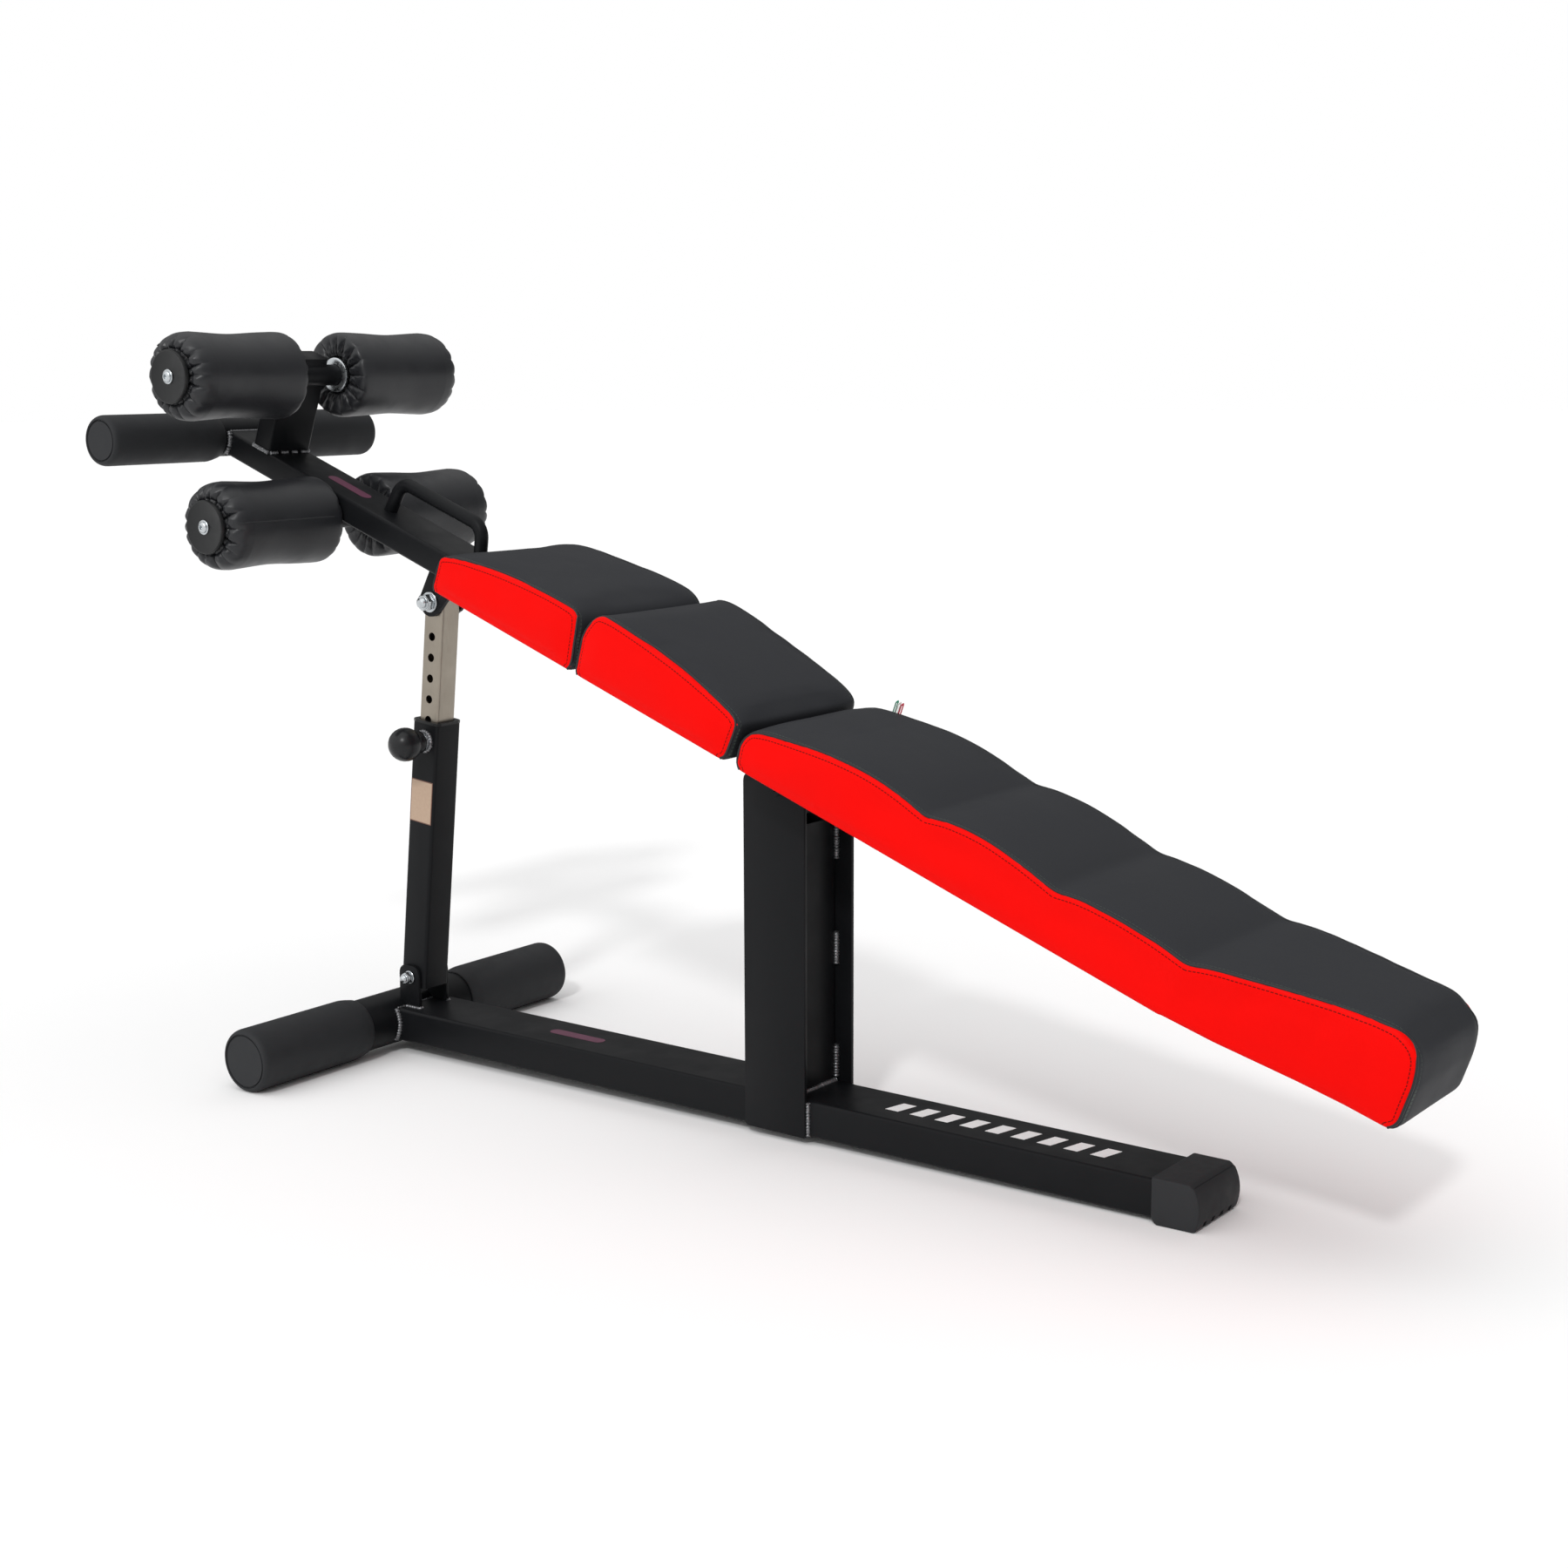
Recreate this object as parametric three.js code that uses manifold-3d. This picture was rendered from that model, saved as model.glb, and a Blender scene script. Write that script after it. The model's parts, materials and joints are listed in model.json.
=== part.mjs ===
// Decline sit-up bench: a welded steel base, a tilting beam with three cushions,
// four foot rollers and a handle, and a telescopic strut with a pull pin.
// Millimetres, +Z up, +X from the feet to the head end, -Y on the user's left.
import * as THREE from 'three';
import { mergeVertices } from 'three/addons/utils/BufferGeometryUtils.js';
import Module from 'manifold-3d';

const wasm = await Module();
wasm.setup();

// ---------------------------------------------------------------- driving sizes
const gap = 0.3;                      // clearance kept between touching pieces
const plate = 5;                      // thickness of every flat steel plate

// The base frame falls a little towards the rear foot. Base sizes are in the
// base's own axes: x from the front foot tube's axis, z from the floor below it.
const rearFoot = { x: 1075, floorZ: 11.6 };
const baseSlope = Math.atan(rearFoot.floorZ / rearFoot.x);
const floorAt = (x) => x * Math.tan(baseSlope);

const footTube = { radius: 31.75, z: 37.07, half: 236 };
const footSleeve = { radius: 37.07, mouth: 84, shoulder: 100, end: 256.4, round: 8 };
const baseBeam = { width: 80, height: 40, wall: 2, corner: 4, z: 35.4, end: 1093 };
const baseTop = baseBeam.z + baseBeam.height / 2;
const rearCap = { start: 1049, corner: 1097, nose: 1101, width: 88.6, top: 59, grooves: 4 };

// The post is two side plates with a box-section web between them.
const post = { x: 601.2, width: 79.5, top: 402, bottom: 15.4, webDepth: 40, webTop: 347 };
const postInner = baseBeam.width / 2 + gap;
const pivot = { x: 611, z: 389, bolt: 4, sleeve: 13 };

// The bench beam's axes start on its top face above the front foot tube:
// x along the beam towards the head end, z square to its top face.
const beamTopAtFoot = 653.64;
const decline = THREE.MathUtils.degToRad(20.35);
const beam = { width: 65.2, height: 30, wall: 2, corner: 4, end: 1290 };
const crossbar = { x: -275.3, radius: 24.15, half: 190 };
const crossSleeve = { radius: 30, mouth: 40, shoulder: 54, end: 208.3, round: 8 };
const upperAxle = { x: -184.6, z: 98.2 };
const lowerAxle = { x: -78.9, z: -43 };
const axle = { radius: 12.7, wall: 2, left: -197, right: 215.6, plug: 9 };
const rollerPost = { front: -181.4, depth: 30, top: 119.5 };
const handle = { start: 2, end: 157, height: 39.3, splay: 10, radius: 8, bend: 17 };

// The left rollers sit close to the beam, the right ones further out.
const rollerSpan = { left: { start: 36.6, end: 199 }, right: { start: 53, end: 217.6 } };
const roller = { bore: 13.1, core: 17, middle: 48.4, shoulder: 51 };
const endDisc = { radius: 31, bore: 4.4, thick: 5.2 };
const innerWasher = { radius: 21, bore: 13.1, thick: 3.2 };
const trimGap = 0.4;

// Cushions: half the width, the skirt below the beam's top face, the board inside.
const cushion = { half: 109, skirt: -14, boardThick: 12, boardInset: 22 };

// The strut's axes start at its lower bolt: z up along the strut.
const strutFoot = { x: 35.75, z: 92.9 };
const strutHead = { x: 84.33, z: 550.2 };
const strutLength = Math.hypot(strutHead.x - strutFoot.x, strutHead.z - strutFoot.z);
const strutLean = Math.atan2(strutHead.x - strutFoot.x, strutHead.z - strutFoot.z);
const outerTube = { width: 40, wall: 2, corner: 4, start: -12, end: 314, bolt: 4 };
const innerTube = { width: 30, wall: 2, corner: 4, start: 195, end: strutLength + 14 };
const topBolt = { radius: 6, slack: 10.6 };
const pinHole = { height: 293, pitch: 25, below: 2, above: 5, radius: 5 };
const guideBush = { depth: 54, flange: 3.5, overhang: 1.2 };
const knob = { ball: 20, centre: 51, collar: 13.5 };

// ---------------------------------------------------------------- finishes
function finish(colour, roughness, metalness = 0) {
  return new THREE.MeshStandardMaterial({ color: colour, roughness, metalness });
}
const blackPaint = finish(0x17181a, 0.45);
const blackRubber = finish(0x1f2022, 0.7);
const blackPlastic = finish(0x1b1b1c, 0.4);
const redLeather = finish(0xd80a08, 0.5);
const blackLeather = finish(0x26272a, 0.5);
const zinc = finish(0xb9bcc0, 0.35, 1);
const nickel = finish(0xa79f92, 0.3, 1);
const plywood = finish(0xb08a5a, 0.8);

// ---------------------------------------------------------------- solids
/** A closed manifold solid from a three.js geometry, with its faces pointing out. */
function solid(geometry) {
  const bare = new THREE.BufferGeometry();
  bare.setAttribute('position', geometry.getAttribute('position').clone());
  if (geometry.index) bare.setIndex(geometry.index.clone());
  const merged = mergeVertices(bare, 1e-3);
  const corner = merged.getAttribute('position');
  const order = merged.index.array;
  const triangles = [];
  const [a, b, c] = [new THREE.Vector3(), new THREE.Vector3(), new THREE.Vector3()];
  let volume = 0;
  for (let i = 0; i < order.length; i += 3) {
    const [p, q, r] = order.slice(i, i + 3);
    if (p === q || q === r || r === p) continue;
    triangles.push([p, q, r]);
    a.fromBufferAttribute(corner, p);
    b.fromBufferAttribute(corner, q);
    c.fromBufferAttribute(corner, r);
    volume += a.dot(b.cross(c));
  }
  const facing = volume < 0 ? triangles.map(([p, q, r]) => [p, r, q]) : triangles;
  return new wasm.Manifold(new wasm.Mesh({
    numProp: 3,
    vertProperties: Float32Array.from(corner.array),
    triVerts: Uint32Array.from(facing.flat()),
  }));
}

function geometryOf(body) {
  const mesh = body.getMesh();
  const geometry = new THREE.BufferGeometry();
  geometry.setAttribute('position', new THREE.BufferAttribute(mesh.vertProperties, 3));
  geometry.setIndex(new THREE.BufferAttribute(mesh.triVerts, 1));
  geometry.computeVertexNormals();
  return geometry;
}

function piece(parent, name, body, material) {
  const mesh = new THREE.Mesh(geometryOf(body), material);
  mesh.name = name;
  parent.add(mesh);
}

const cutAll = (body, tools) => tools.reduce((rest, tool) => rest.subtract(tool), body);

function block(x0, x1, y0, y1, z0, z1) {
  const geometry = new THREE.BoxGeometry(x1 - x0, y1 - y0, z1 - z0);
  return solid(geometry.translate((x0 + x1) / 2, (y0 + y1) / 2, (z0 + z1) / 2));
}

/** A round bar along Y; six sides make a hexagon. */
function rod(radius, y0, y1, x, z, sides = 16) {
  const geometry = new THREE.CylinderGeometry(radius, radius, y1 - y0, sides);
  return solid(geometry.translate(x, (y0 + y1) / 2, z));
}

/** A turned piece about an axis along Y, from [radius, y] points. */
function turned(profile, x, z, sides = 20) {
  const points = profile.map(([radius, y]) => new THREE.Vector2(radius, y));
  if (profile[0][0] > 0) points.push(points[0].clone());
  return solid(new THREE.LatheGeometry(points, sides).translate(x, 0, z));
}

/** A flat outline in X and Z, given its thickness along Y. */
function slab(outline, y0, y1, segments = 3) {
  const options = { depth: y1 - y0, bevelEnabled: false, curveSegments: segments };
  const turn = new THREE.Matrix4().makeBasis(
    new THREE.Vector3(1, 0, 0), new THREE.Vector3(0, 0, 1), new THREE.Vector3(0, -1, 0));
  const geometry = new THREE.ExtrudeGeometry(outline, options).applyMatrix4(turn);
  return solid(geometry.translate(0, y1, 0));
}

function roundedRectangle(path, width, height, radius) {
  const [x, y] = [width / 2 - radius, height / 2 - radius];
  path.moveTo(-x, -y - radius);
  path.lineTo(x, -y - radius);
  path.absarc(x, -y, radius, -Math.PI / 2, 0);
  path.lineTo(x + radius, y);
  path.absarc(x, y, radius, 0, Math.PI / 2);
  path.lineTo(-x, y + radius);
  path.absarc(-x, y, radius, Math.PI / 2, Math.PI);
  path.lineTo(-x - radius, -y);
  path.absarc(-x, -y, radius, Math.PI, 1.5 * Math.PI);
  return path;
}

/** A box-section tube along Z, open at both ends. */
function uprightTube(width, depth, wall, corner, z0, z1) {
  const outline = roundedRectangle(new THREE.Shape(), width, depth, corner);
  const bore = roundedRectangle(new THREE.Path(), width - 2 * wall, depth - 2 * wall, corner - wall);
  outline.holes.push(bore);
  const options = { depth: z1 - z0, bevelEnabled: false, curveSegments: 1 };
  return new THREE.ExtrudeGeometry(outline, options).translate(0, 0, z0);
}

/** The same tube lying along X: its width runs along Y and its height along Z. */
function levelTube(width, height, wall, corner, x0, x1, z) {
  const turn = new THREE.Matrix4().makeBasis(
    new THREE.Vector3(0, 1, 0), new THREE.Vector3(0, 0, 1), new THREE.Vector3(1, 0, 0));
  const geometry = uprightTube(width, height, wall, corner, x0, x1).applyMatrix4(turn);
  return solid(geometry.translate(0, 0, z));
}

/** A round tube along Y with open ends. */
function pipe(radius, wall, half, x, z) {
  const bore = radius - wall;
  return turned([[bore, -half], [radius, -half], [radius, half], [bore, half]], x, z);
}

/** A closed-ended grip pushed over the end of a pipe, its mouth tapered. */
function gripSleeve(size, pipeRadius, side, x, z) {
  const bore = pipeRadius + gap;
  const { radius, mouth, shoulder, end, round } = size;
  const profile = [[0, end], [radius - round, end]];
  for (const angle of [60, 30]) {
    const turn = THREE.MathUtils.degToRad(angle);
    profile.push([radius - round + round * Math.cos(turn), end - round + round * Math.sin(turn)]);
  }
  profile.push([radius, end - round], [radius, shoulder], [bore + 1.5, mouth], [bore, mouth]);
  profile.push([bore, end - 14], [0, end - 14]);
  return turned(profile.map(([r, y]) => [r, y * side]), x, z, 24);
}

/** A hexagon head with a flat washer under it, on the outside of face y. */
function hexHead(across, thick, washer, y, side, x, z) {
  const face = y + side * gap;
  const [under, over] = [face, face + side * 2];
  const top = over + side * thick;
  const disc = rod(washer, Math.min(under, over), Math.max(under, over), x, z);
  const head = rod(across / Math.sqrt(3), Math.min(over, top), Math.max(over, top), x, z, 6);
  return disc.add(head);
}

/** Bolt from the +Y side with its head on +Y, and the nut for its -Y end. */
function boltAndNut(parent, name, size, x, z) {
  const { radius, reach, tail = 12, across, washer, material = zinc } = size;
  const shank = rod(radius, -reach - tail, reach + gap + 1, x, z, 12);
  const head = hexHead(across, radius * 1.3, washer, reach, 1, x, z);
  piece(parent, `${name}_bolt`, shank.add(head), material);
  const nut = hexHead(across, radius * 1.6, washer, -reach, -1, x, z);
  const thread = rod(radius + gap, -reach - 30, -reach + 1, x, z, 12);
  piece(parent, `${name}_nut`, nut.subtract(thread), material);
}

const sides = [['left', -1], ['right', 1]];

// ---------------------------------------------------------------- base
function addFeet(base) {
  const { radius, z, half } = footTube;
  piece(base, 'foot_tube', pipe(radius, 2, half, 0, z), blackPaint);
  for (const [side, sign] of sides) {
    piece(base, `foot_sleeve_${side}`, gripSleeve(footSleeve, radius, sign, 0, z), blackRubber);
  }
}

function addBaseBeam(base) {
  const { width, height, wall, corner, z, end } = baseBeam;
  const tube = levelTube(width, height, wall, corner, 8, end, z);
  const cope = rod(footTube.radius + gap, -60, 60, 0, footTube.z, 24);
  piece(base, 'base_beam', tube.subtract(block(-40, 12, -60, 60, 0, 80)).subtract(cope), blackPaint);
}

/** Rubber boot over the beam's end, ribbed underneath and bulged at its nose. */
function addRearCap(base) {
  const { start, corner, nose, width, top, grooves } = rearCap;
  const side = new THREE.Shape();
  side.moveTo(start, floorAt(start) + 6);
  side.lineTo(start + 5, floorAt(start + 5));
  side.lineTo(corner, floorAt(corner));
  side.quadraticCurveTo(nose + 2, 36, corner - 3, top - 3);
  side.lineTo(corner - 7, top);
  side.lineTo(start, top);
  const boot = slab(side, -width / 2, width / 2, 5);
  const slack = baseBeam.width / 2 + gap;
  const low = baseBeam.z - baseBeam.height / 2 - gap;
  const pocket = block(start - 5, baseBeam.end + gap, -slack, slack, low, baseTop + gap);
  const pitch = width / (grooves + 1);
  const cuts = [pocket];
  for (let i = 1; i <= grooves; i += 1) {
    const y = -width / 2 + i * pitch;
    cuts.push(block(start + 12, nose + 5, y - 3.5, y + 3.5, -5, floorAt(corner) + 2));
    cuts.push(block(baseBeam.end + 2, nose + 5, y - 3.5, y + 3.5, -5, floorAt(corner) + 7));
  }
  piece(base, 'rear_foot_cap', cutAll(boot, cuts), blackRubber);
}

/** The post's side plates: one corner rounded, the other sloped to clear the cushion. */
function addPost(base) {
  const [left, right] = [post.x - post.width / 2, post.x + post.width / 2];
  const outline = new THREE.Shape();
  outline.moveTo(left + 3, post.bottom);
  outline.lineTo(right, post.bottom);
  outline.lineTo(right, pivot.z - 6);
  outline.quadraticCurveTo(right - 2, pivot.z + 3, right - 12, pivot.z + 7);
  outline.lineTo(pivot.x + 6, post.top);
  outline.lineTo(left + 10, post.top);
  outline.quadraticCurveTo(left, post.top, left, post.top - 10);
  outline.lineTo(left, post.bottom + 3);
  const hole = rod(pivot.bolt + 0.4, -60, 60, pivot.x, pivot.z);
  for (const [side, sign] of sides) {
    const [near, far] = [sign * postInner, sign * (postInner + plate)];
    const cheek = slab(outline, Math.min(near, far), Math.max(near, far));
    piece(base, `post_plate_${side}`, cheek.subtract(hole), blackPaint);
  }
  const web = uprightTube(post.webDepth, baseBeam.width, 2, 4, baseTop + gap, post.webTop);
  piece(base, 'post_web', solid(web.translate(post.x, 0, 0)), blackPaint);
  const bolt = { radius: pivot.bolt, reach: postInner + plate, tail: 9, across: 13, washer: 8 };
  boltAndNut(base, 'post_pivot', { ...bolt, material: blackPaint }, pivot.x, pivot.z);
}

/** Two ears on the base beam, coped over the foot tube, with the strut's lower bolt. */
function addStrutBase(base) {
  const [left, right] = [17.5, 50];
  const top = strutFoot.z + 14;
  const outline = new THREE.Shape();
  outline.moveTo(left, baseTop + gap);
  outline.lineTo(right, baseTop + gap);
  outline.lineTo(right, top - 12);
  outline.quadraticCurveTo(right, top, right - 12, top);
  outline.lineTo(left + 12, top);
  outline.quadraticCurveTo(left, top, left, top - 12);
  const cope = rod(footTube.radius + gap, -60, 60, 0, footTube.z, 24);
  const hole = rod(outerTube.bolt + 0.3, -60, 60, strutFoot.x, strutFoot.z, 16);
  const inner = outerTube.width / 2 + 0.4;
  for (const [side, sign] of sides) {
    const [near, far] = [sign * inner, sign * (inner + plate)];
    const ear = slab(outline, Math.min(near, far), Math.max(near, far));
    piece(base, `strut_base_ear_${side}`, cutAll(ear, [cope, hole]), blackPaint);
  }
  const bolt = { radius: outerTube.bolt, reach: inner + plate, across: 13, washer: 8 };
  boltAndNut(base, 'strut_base', bolt, strutFoot.x, strutFoot.z);
}

// ---------------------------------------------------------------- tilting bench
function addBeam(bench, pivotInBeam) {
  const { width, height, wall, corner, end } = beam;
  const middle = -height / 2;
  const tube = levelTube(width, height, wall, corner, crossbar.x + 6, end, middle);
  const cope = rod(crossbar.radius + gap, -60, 60, crossbar.x, middle, 24);
  const saddle = rod(pivot.sleeve + gap, -60, 60, pivotInBeam.x, pivotInBeam.z, 20);
  piece(bench, 'bench_beam', cutAll(tube, [cope, saddle]), blackPaint);
  const across = baseBeam.width / 2;
  const { sleeve, bolt } = pivot;
  const wallProfile = [[bolt + 0.5, -across], [sleeve, -across], [sleeve, across], [bolt + 0.5, across]];
  piece(bench, 'pivot_sleeve', turned(wallProfile, pivotInBeam.x, pivotInBeam.z), blackPaint);
  piece(bench, 'crossbar', pipe(crossbar.radius, 2, crossbar.half, crossbar.x, middle), blackPaint);
  for (const [side, sign] of sides) {
    const sleeveBody = gripSleeve(crossSleeve, crossbar.radius, sign, crossbar.x, middle);
    piece(bench, `crossbar_sleeve_${side}`, sleeveBody, blackRubber);
  }
}

/** An axle tube along Y with a bored plug in each end for the disc's screw. */
function axleBody(x, z) {
  const { radius, wall, left, right, plug } = axle;
  const [bore, tap] = [radius - wall, endDisc.bore];
  const profile = [[tap, left], [radius, left], [radius, right], [tap, right]];
  profile.push([tap, right - plug], [bore, right - plug], [bore, left + plug], [tap, left + plug]);
  return turned(profile, x, z);
}

function addRollerPost(bench) {
  const { front, depth, top } = rollerPost;
  const tube = uprightTube(depth, beam.width, 2, 4, gap, top);
  const standing = solid(tube.translate(front - depth / 2, 0, 0));
  const notch = rod(axle.radius + gap, -60, 60, upperAxle.x, upperAxle.z);
  piece(bench, 'roller_post', standing.subtract(notch), blackPaint);
  piece(bench, 'upper_axle', axleBody(upperAxle.x, upperAxle.z), blackPaint);
  piece(bench, 'lower_axle', axleBody(lowerAxle.x, lowerAxle.z), blackPaint);
}

/** The fixed trim of one roller: outer disc, its screw, and the washer at the inner end. */
function addRollerTrim(bench, name, side, sign, centre) {
  const { x, z } = centre;
  const { start, end } = rollerSpan[side];
  const mirrored = (profile) => profile.map(([radius, y]) => [radius, y * sign]);
  const { radius, bore, thick } = endDisc;
  const inside = end + trimGap;
  const face = inside + thick;
  const disc = [[bore, inside], [radius, inside], [radius, face - 1], [radius - 1, face], [bore, face]];
  piece(bench, `roller_disc_${name}`, turned(mirrored(disc), x, z), blackPlastic);
  const [tip, head] = [Math.abs(axle[side]) - 5, face + gap];
  const screw = [[0, tip], [4, tip], [4, head], [8, head], [6.5, head + 3.5], [4, head + 5]];
  screw.push([0, head + 5]);
  piece(bench, `roller_screw_${name}`, turned(mirrored(screw), x, z, 12), zinc);
  const ring = innerWasher;
  const near = start - trimGap - ring.thick;
  const far = start - trimGap;
  const washer = [[ring.bore, near], [ring.radius, near], [ring.radius, far], [ring.bore, far]];
  piece(bench, `roller_washer_${name}`, turned(mirrored(washer), x, z, 16), zinc);
}

/** One spinning roller: a foam and leather spool on a plastic core. */
function addRoller(parent, name, side, sign, centre) {
  const { x, z } = centre;
  const { start, end } = rollerSpan[side];
  const { bore, core, middle, shoulder } = roller;
  const mirrored = (profile) => profile.map(([radius, y]) => [radius, y * sign]);
  const coreWall = [[bore, start], [core, start], [core, end], [bore, end]];
  piece(parent, `roller_core_${name}`, turned(mirrored(coreWall), x, z, 16), blackPlastic);
  const inside = core + gap;
  const profile = [[inside, start + 6], [24, start + 1], [36, start], [45.5, start + 3.5]];
  profile.push([50, start + 11], [shoulder, start + 24], [middle, (start + end) / 2]);
  profile.push([shoulder, end - 24], [50, end - 10], [45.5, end - 1.5], [38, end + 4]);
  profile.push([32.5, end + 3], [32.5, end - 1], [inside, end - 1]);
  piece(parent, `roller_pad_${name}`, turned(mirrored(profile), x, z, 20), blackLeather);
}

/** A round bar bent into a hand hold standing on the beam. */
function addHandle(bench) {
  const { start, end, height, splay, radius, bend } = handle;
  const corners = [
    new THREE.Vector3(start, 0, -5),
    new THREE.Vector3(start + splay, 0, height),
    new THREE.Vector3(end - splay, 0, height),
    new THREE.Vector3(end, 0, -5),
  ];
  const path = new THREE.CurvePath();
  let from = corners[0];
  for (const i of [1, 2]) {
    const towards = (other) => other.clone().sub(corners[i]).setLength(bend).add(corners[i]);
    const [into, out] = [towards(corners[i - 1]), towards(corners[i + 1])];
    path.add(new THREE.LineCurve3(from, into));
    path.add(new THREE.QuadraticBezierCurve3(into, corners[i], out));
    from = out;
  }
  path.add(new THREE.LineCurve3(from, corners[3]));
  const section = new THREE.Shape().absarc(0, 0, radius, 0, 2 * Math.PI);
  const options = { steps: 26, curveSegments: 5, extrudePath: path, bevelEnabled: false };
  const bar = solid(new THREE.ExtrudeGeometry(section, options));
  const belowBeamTop = block(start - 30, end + 30, -30, 30, -40, gap);
  piece(bench, 'handle', bar.subtract(belowBeamTop), blackPaint);
}

/** Two gusset ears under the beam and the bolt through the strut's head. */
function addStrutBracket(bench, head) {
  const under = -beam.height - gap;
  const outline = new THREE.Shape();
  outline.moveTo(head.x - 12, under);
  outline.lineTo(head.x - 17.5, head.z);
  outline.absarc(head.x, head.z, 17.5, Math.PI, 1.85 * Math.PI);
  outline.lineTo(head.x + 34, under);
  const hole = rod(topBolt.radius + gap, -60, 60, head.x, head.z);
  const inner = innerTube.width / 2 + 0.5;
  for (const [side, sign] of sides) {
    const [near, far] = [sign * inner, sign * (inner + plate)];
    const ear = slab(outline, Math.min(near, far), Math.max(near, far));
    piece(bench, `strut_top_ear_${side}`, ear.subtract(hole), blackPaint);
  }
  const bolt = { radius: topBolt.radius, reach: inner + plate, across: 18, washer: 12 };
  boltAndNut(bench, 'strut_top', bolt, head.x, head.z);
}

// ---------------------------------------------------------------- cushions
// Side outlines in the beam's axes: the ends lean, and the top rises and dips.
const points = (list) => list.map(([x, z]) => new THREE.Vector2(x, z));

function upperSeatOutline() {
  const side = new THREE.Shape();
  side.moveTo(193, cushion.skirt);
  side.lineTo(189.5, cushion.skirt + 4);
  side.lineTo(188, 26);
  side.splineThru(points([[193, 31], [222, 40], [282, 49], [346, 54], [384, 53.5], [397, 48]]));
  side.lineTo(401.5, 36);
  side.lineTo(408.5, cushion.skirt + 6);
  side.lineTo(404, cushion.skirt);
  return side;
}

function lowerSeatOutline() {
  const side = new THREE.Shape();
  side.moveTo(414, cushion.skirt);
  side.lineTo(411, cushion.skirt + 4);
  side.lineTo(408.5, 32);
  side.splineThru(points([[418, 57], [436, 64], [480, 62], [541, 55], [598, 44.5], [622, 38]]));
  side.lineTo(632, 30);
  side.lineTo(630.5, cushion.skirt + 5);
  side.lineTo(624, cushion.skirt);
  return side;
}

function backOutline() {
  const side = new THREE.Shape();
  side.moveTo(650, cushion.skirt);
  side.lineTo(643, cushion.skirt + 5);
  side.lineTo(640, 12);
  side.splineThru(points([[654, 34], [703, 46], [760, 54], [810, 54.5], [868, 47]]));
  side.splineThru(points([[893, 53], [930, 56], [970, 53.5], [1022, 46]]));
  side.splineThru(points([[1050, 51], [1090, 53], [1130, 51.5], [1168, 48]]));
  side.splineThru(points([[1200, 57], [1270, 69], [1340, 78], [1366, 76], [1384, 62], [1391, 36]]));
  side.lineTo(1392, -4);
  side.lineTo(1384, cushion.skirt + 2);
  return side;
}

/** The back cushion seen from above: parallel, then narrower towards the head. */
function backPlan() {
  const { half } = cushion;
  const plan = new THREE.Shape();
  const edge = [[1165, half], [1215, 103], [1255, 94], [1296, 85], [1340, 78], [1400, 74]];
  plan.moveTo(600, -half);
  plan.lineTo(1100, -half);
  plan.splineThru(points(edge.map(([x, y]) => [x, -y])));
  plan.lineTo(1400, 74);
  plan.splineThru(points(edge.reverse().slice(1)));
  plan.lineTo(600, half);
  return plan;
}

/** A cushion over its plywood board, with a channel below that straddles the beam
 *  and stops at the beam's end. */
function addCushion(bench, name, outline, start, end, boardHalf, material) {
  const { half, boardThick } = cushion;
  const body = slab(outline, -half, half, 2);
  const slack = beam.width / 2 + 0.6;
  const channelEnd = Math.min(end + 20, beam.end + 4);
  const channel = block(start - 20, channelEnd, -slack, slack, -60, gap / 2);
  const board = { x0: start + 18, x1: end - 18, z0: gap, z1: gap + boardThick };
  const pocket = block(board.x0 - gap, board.x1 + gap, -boardHalf - gap, boardHalf + gap,
    0, board.z1 + gap);
  const sheet = block(board.x0, board.x1, -boardHalf, boardHalf, board.z0, board.z1);
  piece(bench, `${name}_board`, sheet, plywood);
  return { body: cutAll(body, [channel, pocket]), material, name };
}

function addCushions(bench) {
  const boardHalf = cushion.half - cushion.boardInset;
  const upper = addCushion(bench, 'seat_upper', upperSeatOutline(), 188, 409, boardHalf, redLeather);
  const lower = addCushion(bench, 'seat_lower', lowerSeatOutline(), 408, 632, boardHalf, redLeather);
  const back = addCushion(bench, 'back', backOutline(), 640, 1392, 60, redLeather);
  const plan = new THREE.ExtrudeGeometry(backPlan(), { depth: 140, bevelEnabled: false, curveSegments: 2 });
  back.body = back.body.intersect(solid(plan.translate(0, 0, -30)));
  for (const { body, material, name } of [upper, lower, back]) {
    piece(bench, `${name}_cushion`, body, material);
  }
}

// ---------------------------------------------------------------- strut
function addStrut(strut) {
  const { width, wall, corner, start, end, bolt } = outerTube;
  const outer = solid(uprightTube(width, width, wall, corner, start, end));
  const foot = rod(bolt + 0.3, -60, 60, 0, 0, 16);
  const mouth = rod(8.4, -60, 0, 0, pinHole.height, 20);
  piece(strut, 'strut_outer_tube', cutAll(outer, [foot, mouth]), blackPaint);

  const lining = width - 2 * wall - 2 * gap;
  const bore = innerTube.width + 2 * gap;
  const bush = uprightTube(lining, lining, (lining - bore) / 2, 3, end - guideBush.depth, end + 1);
  const flangeWidth = width + 2 * guideBush.overhang;
  const flange = uprightTube(flangeWidth, flangeWidth, (flangeWidth - bore) / 2, 5 + 2,
    end + gap, end + guideBush.flange);
  const bushBody = solid(bush).add(solid(flange)).subtract(mouth);
  piece(strut, 'strut_guide_bush', bushBody, blackPlastic);

  const inner = solid(uprightTube(innerTube.width, innerTube.width, innerTube.wall,
    innerTube.corner, innerTube.start, innerTube.end));
  const cuts = [rod(topBolt.slack, -60, 60, 0, strutLength)];
  for (let i = -pinHole.below; i <= pinHole.above; i += 1) {
    cuts.push(rod(pinHole.radius, -60, 0, 0, pinHole.height + i * pinHole.pitch, 12));
  }
  piece(strut, 'strut_inner_tube', cutAll(inner, cuts), nickel);
}

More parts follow.
